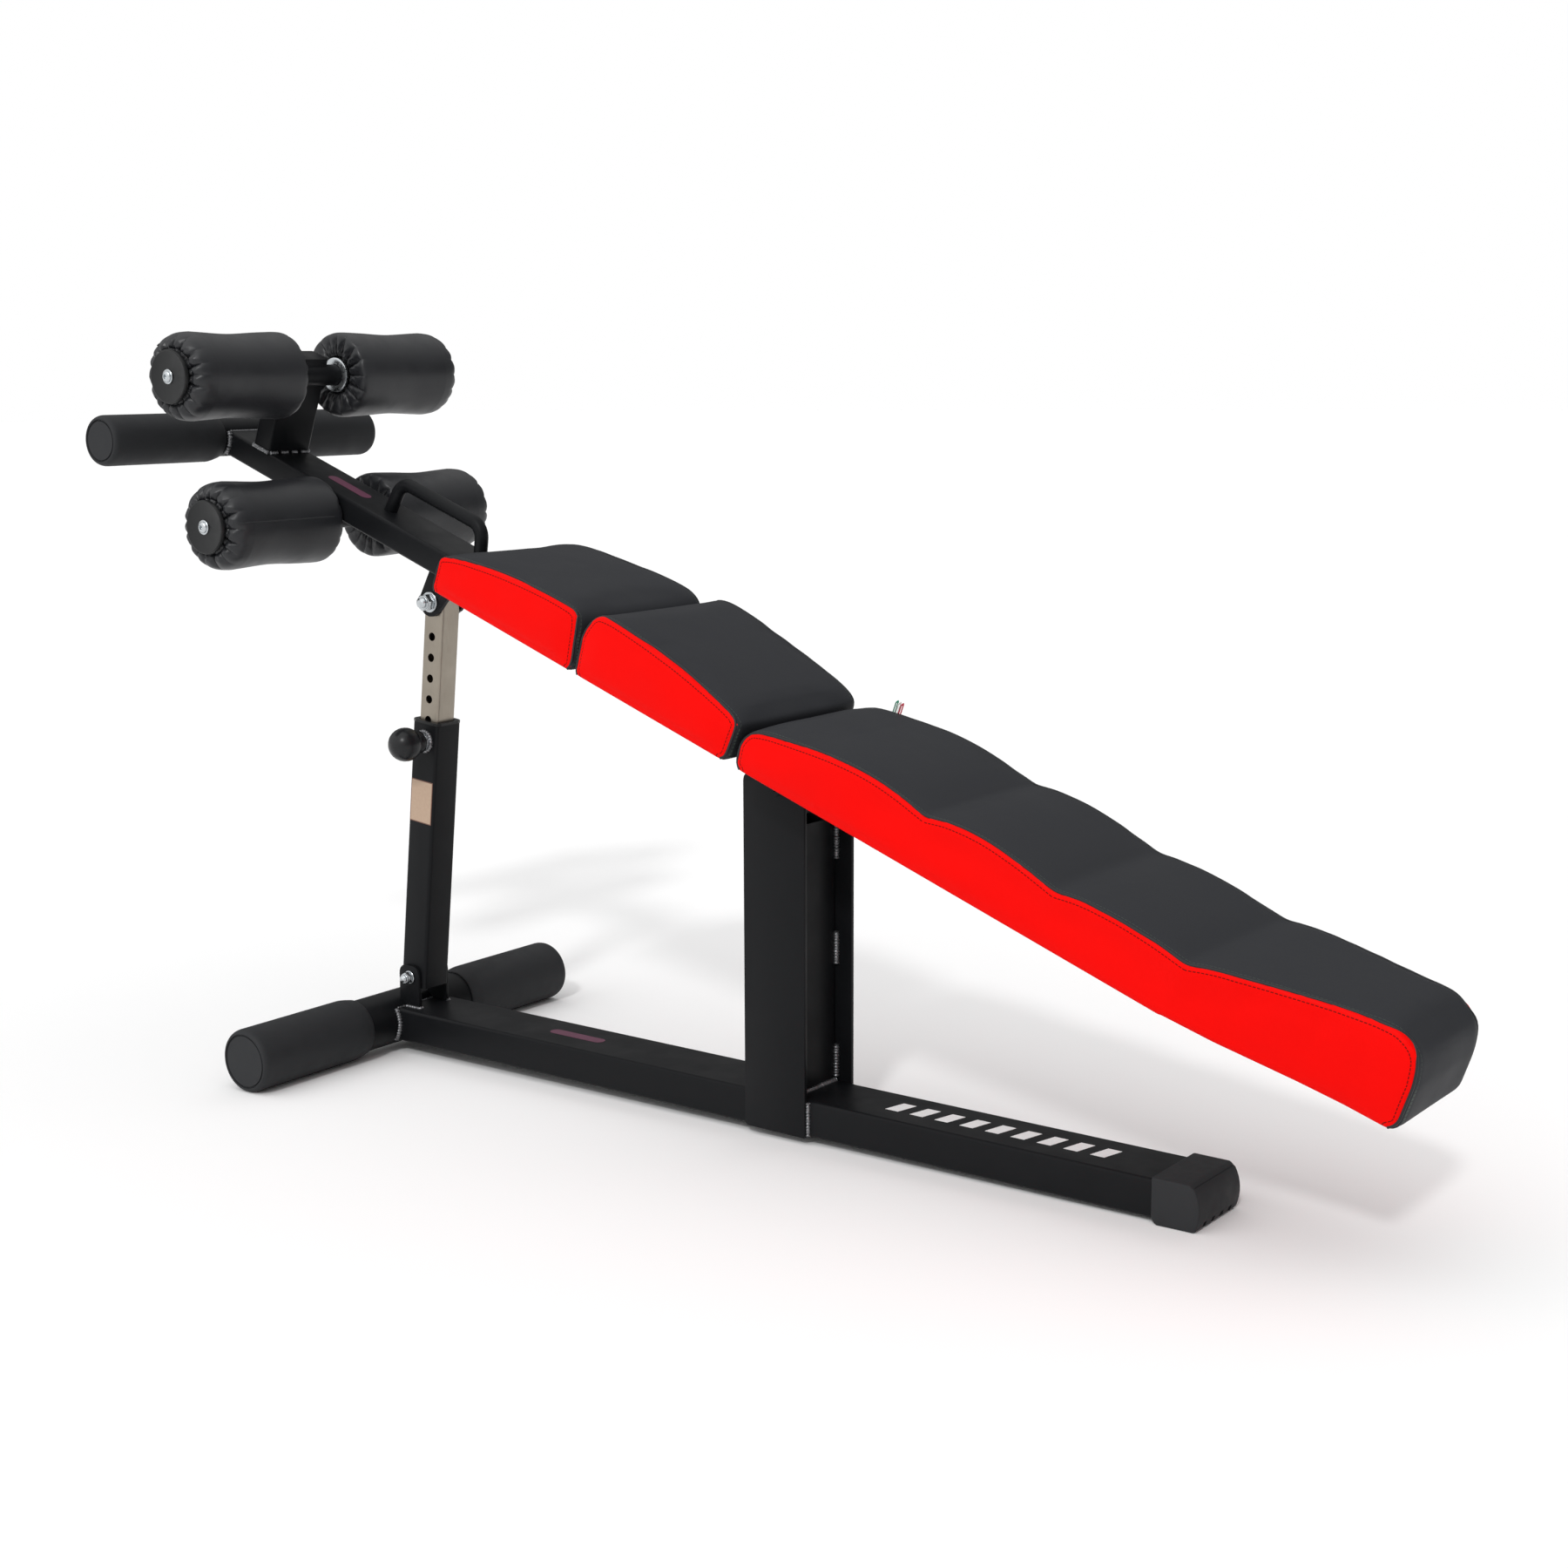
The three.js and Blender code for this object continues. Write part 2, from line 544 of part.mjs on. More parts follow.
/** The spring-loaded pull pin: threaded housing, spring, pin and ball knob. */
function addPlunger(strut) {
  const z = pinHole.height;
  const face = outerTube.width / 2 + gap;
  const inner = innerTube.width / 2;
  const housing = [[6.4, -inner - 1.4], [8, -inner - 1.4], [8, -face], [11, -face], [11, -face - 5]];
  housing.push([9, -face - 6.5], [4.6, -face - 6.5], [4.6, -face - 4.5], [6.4, -face - 4.5]);
  piece(strut, 'plunger_housing', turned(housing, 0, z, 16), zinc);

  class Coil extends THREE.Curve {
    getPoint(t, target = new THREE.Vector3()) {
      const angle = 2 * Math.PI * 3 * t;
      return target.set(5.2 * Math.cos(angle), -inner - 2.5 - 6 * t, z + 5.2 * Math.sin(angle));
    }
  }
  const wire = new THREE.Shape().absarc(0, 0, 0.5, 0, 2 * Math.PI);
  const options = { steps: 36, curveSegments: 2, extrudePath: new Coil(), bevelEnabled: false };
  piece(strut, 'plunger_spring', solid(new THREE.ExtrudeGeometry(wire, options)), zinc);

  const { ball, centre, collar } = knob;
  piece(strut, 'plunger_pin', rod(4, -centre - 4, -inner - gap - 0.1, 0, z, 20), zinc);
  const neck = -face - 7;
  const profile = [[4.3, neck], [collar - 2, neck], [collar, neck - 2], [collar, neck - 7]];
  const ballAngles = [36, 12, -12, -36, -60];
  for (const angle of ballAngles) {
    const turn = THREE.MathUtils.degToRad(angle);
    profile.push([ball * Math.cos(turn), -centre + ball * Math.sin(turn)]);
  }
  profile.push([0, -centre - ball], [0, -centre - 4 - gap], [4.3, -centre - 4 - gap]);
  piece(strut, 'pull_knob', turned([...profile, profile[0]], 0, z, 20), blackPlastic);
}

// ---------------------------------------------------------------- assembly
const sitUpBench = new THREE.Group();
const base = new THREE.Group();
base.rotation.y = baseSlope;
sitUpBench.add(base);

const tiltingBench = new THREE.Group();
tiltingBench.position.z = beamTopAtFoot;
tiltingBench.rotation.y = decline;
base.add(tiltingBench);

const strut = new THREE.Group();
strut.position.set(strutFoot.x, 0, strutFoot.z);
strut.rotation.y = strutLean;
base.add(strut);

/** A point of the base's axes in the beam's axes. */
function inBeam({ x, z }) {
  const point = new THREE.Vector3(x, 0, z - beamTopAtFoot);
  return point.applyAxisAngle(new THREE.Vector3(0, 1, 0), -decline);
}

addFeet(base);
addBaseBeam(base);
addRearCap(base);
addPost(base);
addStrutBase(base);
addBeam(tiltingBench, inBeam(pivot));
addRollerPost(tiltingBench);
addHandle(tiltingBench);
addStrutBracket(tiltingBench, inBeam(strutHead));
addCushions(tiltingBench);
for (const [level, centre] of [['upper', upperAxle], ['lower', lowerAxle]]) {
  for (const [side, sign] of sides) {
    addRollerTrim(tiltingBench, `${level}_${side}`, side, sign, centre);
    addRoller(tiltingBench, `${level}_${side}`, side, sign, centre);
  }
}
addStrut(strut);
addPlunger(strut);

// The origin is on the floor, under the middle of the whole bench.
sitUpBench.updateMatrixWorld(true);
const extent = new THREE.Box3().setFromObject(sitUpBench, true);
sitUpBench.position.set(-(extent.min.x + extent.max.x) / 2, 0, -extent.min.z);
sitUpBench.updateMatrixWorld(true);

export default sitUpBench;
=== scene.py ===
"""Decline sit-up bench: its finished surfaces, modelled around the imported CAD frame.

Tables and outlines are in millimetres, in three sets of axes that the CAD part also uses:
BASE (x from the front foot tube's axis, z from the floor under it), BENCH (x along the
tilting beam, z square to its top face) and STRUT (z up the strut from its lower bolt).
"""

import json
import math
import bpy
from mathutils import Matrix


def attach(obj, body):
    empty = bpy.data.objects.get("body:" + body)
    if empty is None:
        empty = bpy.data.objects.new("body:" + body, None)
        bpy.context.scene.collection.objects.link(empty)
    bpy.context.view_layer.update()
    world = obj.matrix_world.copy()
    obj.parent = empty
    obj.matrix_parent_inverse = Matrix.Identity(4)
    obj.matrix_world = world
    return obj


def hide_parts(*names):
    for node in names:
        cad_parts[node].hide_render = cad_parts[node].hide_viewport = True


bl_info = {
    "name": "Sit-up bench",
    "version": (1, 0, 0),
    "blender": (4, 5, 0),
    "location": "View3D > Sidebar > Bench",
    "description": "Models a decline sit-up bench around its CAD frame",
    "category": "Object",
}

import bmesh
import bpy
import numpy as np
from bpy.props import FloatProperty, FloatVectorProperty, IntProperty, PointerProperty
from mathutils import Matrix, Vector
from mathutils.bvhtree import BVHTree

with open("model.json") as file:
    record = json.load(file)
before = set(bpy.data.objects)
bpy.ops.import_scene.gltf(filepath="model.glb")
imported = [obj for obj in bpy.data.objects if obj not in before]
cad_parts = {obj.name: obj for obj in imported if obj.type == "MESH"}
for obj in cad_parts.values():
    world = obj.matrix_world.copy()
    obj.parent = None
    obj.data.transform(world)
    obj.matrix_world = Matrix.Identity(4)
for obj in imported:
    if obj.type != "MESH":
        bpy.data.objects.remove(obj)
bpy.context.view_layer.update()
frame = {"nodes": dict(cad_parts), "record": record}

MM = 0.001
SIDES = (("left", -1), ("right", 1))

# ---------------------------------------------------------------- axes and driving sizes
BASE_SLOPE = math.atan(11.6 / 1075)
BASE = Matrix.Translation((-518.3563 * MM, 0, 0)) @ Matrix.Rotation(BASE_SLOPE, 4, "Y")
DECLINE = math.radians(20.35)
BENCH = BASE @ Matrix.Translation((0, 0, 653.64 * MM)) @ Matrix.Rotation(DECLINE, 4, "Y")
STRUT_FOOT = (35.75, 92.9)
STRUT_HEAD = (84.33, 550.2)
STRUT_RISE = (STRUT_HEAD[0] - STRUT_FOOT[0], STRUT_HEAD[1] - STRUT_FOOT[1])
STRUT_LENGTH = math.hypot(*STRUT_RISE)
STRUT = (
    BASE
    @ Matrix.Translation((STRUT_FOOT[0] * MM, 0, STRUT_FOOT[1] * MM))
    @ Matrix.Rotation(math.atan2(*STRUT_RISE), 4, "Y")
)

FOOT_TUBE = {"radius": 31.75, "z": 37.07}
FOOT_SLEEVE = {"radius": 37.07, "mouth": 84, "shoulder": 100, "end": 256.4, "disc": 29.5}
BASE_BEAM = {"width": 80, "height": 40, "z": 35.4, "end": 1093}
BASE_TOP = BASE_BEAM["z"] + BASE_BEAM["height"] / 2
BOOT = {"start": 1049, "corner": 1097, "nose": 1101, "width": 88.6, "top": 59}
POST = {"x": 601.2, "width": 79.5, "top": 402, "bottom": 15.4, "web": 40, "web_top": 347}
PIVOT = (611, 389)
PLATE = 5
PLATE_INNER = 40.3
BEAM = {"width": 65.2, "height": 30, "start": -270, "end": 1290}
CROSSBAR = {"x": -275.3, "z": -15, "radius": 24.15}
CROSS_SLEEVE = {"radius": 30, "mouth": 40, "shoulder": 54, "end": 208.3, "disc": 22.5}
AXLES = {"upper": (-184.6, 98.2), "lower": (-78.9, -43)}
AXLE = {"radius": 12.7, "left": -197, "right": 215.6}
ROLLER_POST = {"front": -181.4, "depth": 30, "top": 119.5}
# the left rollers sit close to the beam, the right ones further out
ROLLER = {
    "left": (36.6, 199), "right": (53, 217.6), "core": 17.3, "middle": 48.4, "shoulder": 51,
}
DISC = {"radius": 31, "thick": 5.2, "gap": 0.4}
HANDLE = {"start": 2, "end": 157, "height": 39.3, "splay": 10, "radius": 8, "bend": 19}
OUTER_TUBE = {"width": 40, "start": -12, "end": 314}
INNER_TUBE = {"width": 30, "start": 195, "end": STRUT_LENGTH + 14}
PIN_HOLES = {"height": 293, "pitch": 25, "below": 2, "above": 5, "radius": 5}
KNOB = {"ball": 20, "centre": -51, "collar": 13.5}
CUSHION = {"half": 109, "skirt": -14, "channel": 33.2, "roll": 3.0, "foam_below": 1.5}
# how a cover swells: the frames it is given, how far its freedom grows from a seam and from a
# valley, the rounds that even it out, and the groove that the stitches draw
SWELL = {"frames": 20, "seam": 14, "valley": 30, "rounds": 10, "groove": 1.1, "groove_width": 3.2}


def srgb(code):
    """A #rrggbb colour as the linear values that Blender's shaders take."""
    parts = [int(code[i : i + 2], 16) / 255 for i in (1, 3, 5)]
    return tuple(p / 12.92 if p <= 0.04045 else ((p + 0.055) / 1.055) ** 2.4 for p in parts)


# ---------------------------------------------------------------- what a user would change
def colour_choice(name, code, description):
    """A colour that the user may change."""
    return FloatVectorProperty(
        name=name, description=description, subtype="COLOR", size=3, min=0, max=1, default=srgb(code)
    )


class BenchSizes(bpy.types.PropertyGroup):
    """Sizes of the finished surfaces."""

    puff: FloatProperty(
        name="Cushion puff",
        description="Most that a cushion's cover may swell from its foam",
        default=3 * MM, min=0, max=0.02, unit="LENGTH",
    )
    voxel: FloatProperty(
        name="Cover mesh",
        description="Mesh size of a cushion's cover while it swells",
        default=4.2 * MM, min=0.004, max=0.01, unit="LENGTH",
    )
    pleats: IntProperty(
        name="Pleats", description="Gathers round each end of a foot roller", default=17, min=8, max=30
    )
    pleat_depth: FloatProperty(
        name="Pleat depth",
        description="Depth of the gathers beside the end disc",
        default=8 * MM, min=0, max=0.01, unit="LENGTH",
    )
    welt: FloatProperty(
        name="Welt radius",
        description="Radius of the piped seam between a cushion's top and its side panels",
        default=1.5 * MM, min=0.0005, max=0.004, unit="LENGTH",
    )
    tube_corner: FloatProperty(
        name="Tube corner",
        description="Outside corner radius of the square steel tubes",
        default=4 * MM, min=0.001, max=0.01, unit="LENGTH",
    )
    bead: FloatProperty(
        name="Weld bead",
        description="Radius of the weld beads",
        default=3.5 * MM, min=0.001, max=0.006, unit="LENGTH",
    )


class BenchColours(bpy.types.PropertyGroup):
    """Colours of the finishes."""

    paint: colour_choice("Paint", "#131416", "Powder coat on the steel frame")
    panel: colour_choice("Side panels", "#e60300", "Leatherette on the cushions' sides")
    cover: colour_choice("Cover", "#303134", "Leatherette on the cushions' tops and ends")
    roller: colour_choice("Rollers", "#1f2023", "Leatherette on the foot rollers")
    rubber: colour_choice("Rubber", "#28292b", "Foam grips and the rear boot")


# ---------------------------------------------------------------- modelling helpers
def only(obj):
    """Leaves obj alone selected and active, in object mode."""
    if bpy.context.object and bpy.context.object.mode != "OBJECT":
        bpy.ops.object.mode_set(mode="OBJECT")
    bpy.ops.object.select_all(action="DESELECT")
    obj.select_set(True)
    bpy.context.view_layer.objects.active = obj
    return obj


def start(name, primitive, **settings):
    """Adds a primitive by its operator, alone selected, and names it."""
    if bpy.context.object and bpy.context.object.mode != "OBJECT":
        bpy.ops.object.mode_set(mode="OBJECT")
    bpy.ops.object.select_all(action="DESELECT")
    getattr(bpy.ops.mesh, f"primitive_{primitive}_add")(**settings)
    obj = bpy.context.object
    obj.name = obj.data.name = name
    return obj


def choose(obj, kind, test):
    """Goes into edit mode and selects the VERT, EDGE or FACE elements that pass the test."""
    only(obj)
    bpy.ops.object.mode_set(mode="EDIT")
    bpy.context.tool_settings.mesh_select_mode = tuple(kind == k for k in ("VERT", "EDGE", "FACE"))
    bpy.ops.mesh.select_all(action="DESELECT")
    mesh = bmesh.from_edit_mesh(obj.data)
    for element in {"VERT": mesh.verts, "EDGE": mesh.edges, "FACE": mesh.faces}[kind]:
        if test(element):
            element.select_set(True)
    bmesh.update_edit_mesh(obj.data)


def close_up(obj):
    """Merges doubles, drops loose edges and turns every face outwards."""
    only(obj)
    bpy.ops.object.mode_set(mode="EDIT")
    bpy.ops.mesh.select_all(action="SELECT")
    bpy.ops.mesh.remove_doubles(threshold=0.01 * MM)
    bpy.ops.mesh.delete_loose(use_verts=True, use_edges=True, use_faces=False)
    bpy.ops.mesh.select_all(action="SELECT")
    bpy.ops.mesh.normals_make_consistent(inside=False)
    bpy.ops.object.mode_set(mode="OBJECT")
    return obj


def modify(obj, kind, **settings):
    """Adds a modifier with these settings and applies it."""
    only(obj)
    modifier = obj.modifiers.new(kind.title(), kind)
    for key, value in settings.items():
        setattr(modifier, key, value)
    bpy.ops.object.modifier_apply(modifier=modifier.name)
    return obj


def soften(obj, width, segments=2, angle=30):
    """Rounds the edges sharper than angle by width millimetres."""
    return modify(
        obj, "BEVEL", width=width * MM, segments=segments,
        limit_method="ANGLE", angle_limit=math.radians(angle), harden_normals=False,
    )


def cut(obj, *tools):
    """Takes each tool's shape out of obj and deletes the tool."""
    for tool in tools:
        modify(obj, "BOOLEAN", object=tool, operation="DIFFERENCE", solver="EXACT")
        bpy.data.objects.remove(tool)
    return obj


def turned(name, profile, steps=64, centre=(0, 0), axis="Y"):
    """Spins a closed [radius, height] outline round an axis along Y or Z through centre."""
    obj = start(name, "circle", vertices=len(profile), radius=1)
    cx, cz = centre[0] * MM, centre[1] * MM
    for vertex, (radius, height) in zip(obj.data.vertices, profile):
        if axis == "Y":
            vertex.co = (cx + radius * MM, height * MM, cz)
        else:
            vertex.co = (cx + radius * MM, 0, cz + height * MM)
    bpy.ops.object.mode_set(mode="EDIT")
    bpy.ops.mesh.select_all(action="SELECT")
    direction = (0, 1, 0) if axis == "Y" else (0, 0, 1)
    bpy.ops.mesh.spin(steps=steps, angle=2 * math.pi, center=(cx, 0, cz), axis=direction)
    return close_up(obj)


def plate_cut(name, outline, y0, y1):
    """A flat [x, z] outline, extruded from y0 to y1."""
    obj = start(name, "circle", vertices=len(outline), radius=1, fill_type="NGON")
    for vertex, (x, z) in zip(obj.data.vertices, outline):
        vertex.co = (x * MM, y0 * MM, z * MM)
    bpy.ops.object.mode_set(mode="EDIT")
    bpy.ops.mesh.select_all(action="SELECT")
    bpy.ops.mesh.extrude_region_move(TRANSFORM_OT_translate={"value": (0, (y1 - y0) * MM, 0)})
    return close_up(obj)


def box(name, x, y, z):
    """A block from its (low, high) places on each axis, with its size in its mesh."""
    middle = [(a + b) / 2 * MM for a, b in (x, y, z)]
    size = [(b - a) * MM for a, b in (x, y, z)]
    obj = start(name, "cube", size=1, location=middle, scale=size)
    bpy.ops.object.transform_apply(location=True, rotation=True, scale=True)
    return obj


def box_tube(name, x, y, z, along, wall=2, open_ends=True):
    """A square steel tube: a block with its long edges rounded, emptied to its wall."""
    obj = box(name, x, y, z)
    across = [i for i in range(3) if i != along]

    def is_long_edge(edge):
        a, b = edge.verts[0].co, edge.verts[1].co
        return all(abs(a[i] - b[i]) < 1e-6 for i in across)

    choose(obj, "EDGE", is_long_edge)
    corner = bpy.context.scene.bench_sizes.tube_corner
    bpy.ops.mesh.bevel(offset=corner, segments=5, affect="EDGES")
    bpy.ops.object.mode_set(mode="OBJECT")
    if open_ends:
        choose(obj, "FACE", lambda face: abs(face.normal[along]) > 0.9)
        bpy.ops.mesh.delete(type="FACE")
        bpy.ops.object.mode_set(mode="OBJECT")
        modify(obj, "SOLIDIFY", thickness=wall * MM, offset=-1)
    return obj


def arc(centre, radius, first, last, steps):
    """Points on a circle from the first to the last angle, in degrees."""
    turns = [math.radians(first + (last - first) * i / steps) for i in range(steps + 1)]
    return [(centre[0] + radius * math.cos(t), centre[1] + radius * math.sin(t)) for t in turns]


def bend(a, corner, b, steps=6):
    """A rounded corner: a quadratic curve from a to b that heads for corner."""
    points = []
    for i in range(steps + 1):
        t = i / steps
        weights = ((1 - t) ** 2, 2 * t * (1 - t), t * t)
        points.append(tuple(sum(w * p[k] for w, p in zip(weights, (a, corner, b))) for k in (0, 1)))
    return points


def spline(points, steps=6):
    """A smooth curve through the points."""
    curve = [points[0]]
    for i in range(len(points) - 1):
        p = [points[max(0, min(len(points) - 1, i + k))] for k in (-1, 0, 1, 2)]
        for step in range(1, steps + 1):
            t = step / steps
            curve.append(tuple(
                0.5 * (2 * p[1][k] + (p[2][k] - p[0][k]) * t
                       + (2 * p[0][k] - 5 * p[1][k] + 4 * p[2][k] - p[3][k]) * t * t
                       + (3 * p[1][k] - p[0][k] - 3 * p[2][k] + p[3][k]) * t ** 3)
                for k in (0, 1)
            ))
    return curve


def settle(obj, axes, body, slot, material, *nodes, smooth=35):
    """Places a finished piece: moved into its axes, shaded, painted and set on its body."""
    only(obj)
    obj.matrix_world = axes
    bpy.ops.object.transform_apply(location=True, rotation=True, scale=True)
    bpy.ops.object.shade_smooth_by_angle(angle=math.radians(smooth))
    obj.data.materials.clear()
    obj.data.materials.append(material)
    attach(obj, body)
    if nodes:
        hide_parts(*nodes)
    return obj


def painted(obj, axes, body, *nodes, smooth=35):
    """Settles a powder-coated piece of the frame."""
    return settle(obj, axes, body, "black_paint", FINISH["paint"], *nodes, smooth=smooth)


def join(name, pieces):
    """Several meshes as one."""
    only(pieces[0])
    for piece in pieces[1:]:
        piece.select_set(True)
    if len(pieces) > 1:
        bpy.ops.object.join()
    pieces[0].name = pieces[0].data.name = name
    return pieces[0]


def tube_along(name, path, radius, sides=10, closed=False, ripple=0.0, pitch=3.2 * MM):
    """A round cord along the points of path, in metres, with ripples of that share and pitch."""
    centre = [Vector(p) for p in path]
    count = len(centre)
    curve = bpy.data.curves.new(name, "CURVE")
    curve.dimensions = "3D"
    curve.bevel_depth = radius
    curve.bevel_resolution = max(1, sides // 4)
    curve.use_fill_caps = not closed
    line = curve.splines.new("POLY")
    line.points.add(count - 1)
    travelled = 0.0
    for i, point in enumerate(centre):
        line.points[i].co = (*point, 1)
        if ripple:
            wave = math.sin(2 * math.pi * travelled / pitch) + 0.5 * math.sin(travelled * 1430)
            line.points[i].radius = 1 + ripple * wave
        if i + 1 < count:
            travelled += (centre[i + 1] - point).length
    line.use_cyclic_u = closed
    obj = bpy.data.objects.new(name, curve)
    bpy.context.scene.collection.objects.link(obj)
    only(obj)
    bpy.ops.object.convert(target="MESH")
    return close_up(bpy.context.object)


def resample(path, step):
    """The same path with its points a step apart."""
    points = [Vector(p) for p in path]
    out = [points[0]]
    carried = 0.0
    for a, b in zip(points, points[1:]):
        length = (b - a).length
        place = step - carried
        while place <= length:
            out.append(a.lerp(b, place / length))
            place += step
        carried = (carried + length) % step if length else carried
    if (out[-1] - points[-1]).length > step * 0.3:
        out.append(points[-1])
    return out


# ---------------------------------------------------------------- finishes
def add_node(tree, kind, settings=None, sockets=None):
    """Adds a node, sets its properties, and sets or links its sockets."""
    node = tree.nodes.new(kind)
    for key, value in (settings or {}).items():
        setattr(node, key, value)
    for key, value in (sockets or {}).items():
        if isinstance(value, bpy.types.NodeSocket):
            tree.links.new(value, node.inputs[key])
        else:
            node.inputs[key].default_value = value
    return node


def new_finish(name, colour, roughness, **sockets):
    """A material whose shader has these plain values; returns it, its tree and its shader."""
    material = bpy.data.materials.new(name)
    material.use_nodes = True
    material.diffuse_color = (*colour, 1)
    tree = material.node_tree
    shader = tree.nodes["Principled BSDF"]
    shader.inputs["Base Color"].default_value = (*colour, 1)
    shader.inputs["Roughness"].default_value = roughness
    for key, value in sockets.items():
        shader.inputs[key.replace("_", " ")].default_value = value
    return material, tree, shader


def noise(tree, size, detail=3.0, vector=None):
    """Noise whose blotches are about size millimetres across, in the piece's own place."""
    if vector is None:
        vector = add_node(tree, "ShaderNodeTexCoord").outputs["Object"]
    sockets = {"Scale": 1 / (size * MM), "Detail": detail, "Vector": vector}
    return add_node(tree, "ShaderNodeTexNoise", None, sockets).outputs["Fac"]


def spread(tree, value, low, high):
    """Stretches a 0.3 to 0.7 noise value over low to high."""
    sockets = {"Value": value, "From Min": 0.3, "From Max": 0.7, "To Min": low, "To Max": high}
    return add_node(tree, "ShaderNodeMapRange", None, sockets).outputs["Result"]


def relief(tree, shader, height, depth, strength=1.0, under=None):
    """Bump of that depth in millimetres, on top of an earlier bump if there is one."""
    sockets = {"Height": height, "Distance": depth * MM, "Strength": strength}
    if under is not None:
        sockets["Normal"] = under
    bump = add_node(tree, "ShaderNodeBump", None, sockets)
    tree.links.new(bump.outputs["Normal"], shader.inputs["Normal"])
    return bump.outputs["Normal"]


def math_node(tree, operation, *values):
    """A sum on numbers or sockets; returns its result."""
    sockets = dict(enumerate(values))
    return add_node(tree, "ShaderNodeMath", {"operation": operation}, sockets).outputs[0]


def tint(tree, fac, low, high):
    """A colour between two by a factor."""
    settings = {"data_type": "RGBA", "clamp_factor": True}
    sockets = {0: fac, 6: low, 7: high}
    return add_node(tree, "ShaderNodeMix", settings, sockets).outputs[2]


def mottle(tree, shader, fac, low, high):
    """Clouds the finish's colour between two by a factor."""
    tree.links.new(tint(tree, fac, low, high), shader.inputs["Base Color"])


def vary_gloss(tree, shader, fac, low, high):
    """Spreads the finish's roughness between two values by a noise."""
    tree.links.new(spread(tree, fac, low, high), shader.inputs["Roughness"])


def opaque(code):
    """A #rrggbb colour as a colour socket takes it."""
    return (*srgb(code), 1)


def darker(colour, share):
    """That share of a colour, as a colour socket takes it."""
    return (*[c * share for c in colour[:3]], 1)


def powder_coat():
    """Black powder coat, sprayed and baked: a satin skin with a faint orange peel."""
    colour = bpy.context.scene.bench_colours.paint
    material, tree, shader = new_finish(
        "Black powder coat", colour, 0.42, Specular_IOR_Level=0.12
    )
    cloud = noise(tree, 45, 2)
    vary_gloss(tree, shader, cloud, 0.36, 0.5)
    mottle(tree, shader, cloud, darker(colour, 0.85), darker(colour, 1.2))
    # the peel's own 0.6 mm cells are drawn at 1.6 mm so that they show
    relief(tree, shader, noise(tree, 1.6, 2), 0.05, 0.5)
    return material


def weld_steel():
    """Weld beads under the coat, left bright on their ripples where the coat is thin."""
    material, tree, shader = new_finish("Coated weld bead", srgb("#5c5d60"), 0.32, Metallic=0.7)
    patch = noise(tree, 5, 3)
    mottle(tree, shader, patch, opaque("#2a2b2d"), opaque("#a4a5a8"))
    relief(tree, shader, noise(tree, 2.2, 3), 0.35, 0.8)
    return material


def leather_grain(tree, shader, size=1.5, depth=0.09):
    """Embossed leatherette grain: small rounded cells with creases between them."""
    where = add_node(tree, "ShaderNodeTexCoord").outputs["Object"]
    cells = add_node(
        tree, "ShaderNodeTexVoronoi", {"feature": "SMOOTH_F1"},
        {"Vector": where, "Scale": 1 / (size * MM), "Smoothness": 0.6},
    ).outputs["Distance"]
    first = relief(tree, shader, cells, depth, 0.6)
    return relief(tree, shader, noise(tree, 30, 3, where), 0.6, 0.25, first)


def roller_leather():
    """Black leatherette on the rollers, smoother and glossier than the cushions' top."""
    colour = bpy.context.scene.bench_colours.roller
    material, tree, shader = new_finish("Roller leatherette", colour, 0.4, Specular_IOR_Level=0.4)
    cloud = noise(tree, 25, 3)
    vary_gloss(tree, shader, cloud, 0.34, 0.46)
    mottle(tree, shader, cloud, darker(colour, 0.85), darker(colour, 1.15))
    leather_grain(tree, shader, 1.6, 0.07)
    return material


def attribute(tree, name):
    """A number that each vertex of the piece carries."""
    return add_node(tree, "ShaderNodeAttribute", {"attribute_name": name}).outputs["Fac"]


def stitch_line(tree, depth, along, place, width, pitch):
    """1 on the threads of a row of stitches that far inside the seam, all in millimetres."""
    off = math_node(tree, "ABSOLUTE", math_node(tree, "SUBTRACT", depth, place * MM))
    on_line = math_node(tree, "LESS_THAN", off, width / 2 * MM)
    part = math_node(tree, "FRACT", math_node(tree, "DIVIDE", along, pitch * MM))
    on_thread = math_node(tree, "LESS_THAN", part, 0.72)
    return math_node(tree, "MULTIPLY", on_line, on_thread)


def cushion_leather():
    """Embossed leatherette, charcoal on top and red at the sides, sewn along the edge.

    depth is how far inside the side panel's seam a point lies, along is the place on the seam.
    """
    colours = bpy.context.scene.bench_colours
    material, tree, shader = new_finish(
        "Cushion leatherette", colours.cover, 0.5, Specular_IOR_Level=0.06
    )
    depth, along = attribute(tree, "seam_depth"), attribute(tree, "seam_along")
    cloud = noise(tree, 70, 3)
    black = tint(tree, cloud, darker(colours.cover, 0.92), darker(colours.cover, 1.08))
    red = tint(tree, cloud, darker(colours.panel, 0.95), darker(colours.panel, 1.05))
    side = math_node(tree, "GREATER_THAN", depth, 0.0)
    colour = tint(tree, side, black, red)
    # rows of stitches: dark red thread inside the panel, grey-green thread on the black edge
    inner = stitch_line(tree, depth, along, 5, 1.0, 4)
    outer = stitch_line(tree, depth, along, -2.6, 0.8, 4)
    colour = tint(tree, inner, colour, opaque("#7d0a06"))
    colour = tint(tree, outer, colour, opaque("#474f4a"))
    tree.links.new(colour, shader.inputs["Base Color"])
    vary_gloss(tree, shader, cloud, 0.46, 0.56)
    first = leather_grain(tree, shader)
    threads = math_node(tree, "ADD", inner, outer)
    relief(tree, shader, threads, 0.5, 0.7, first)
    return material


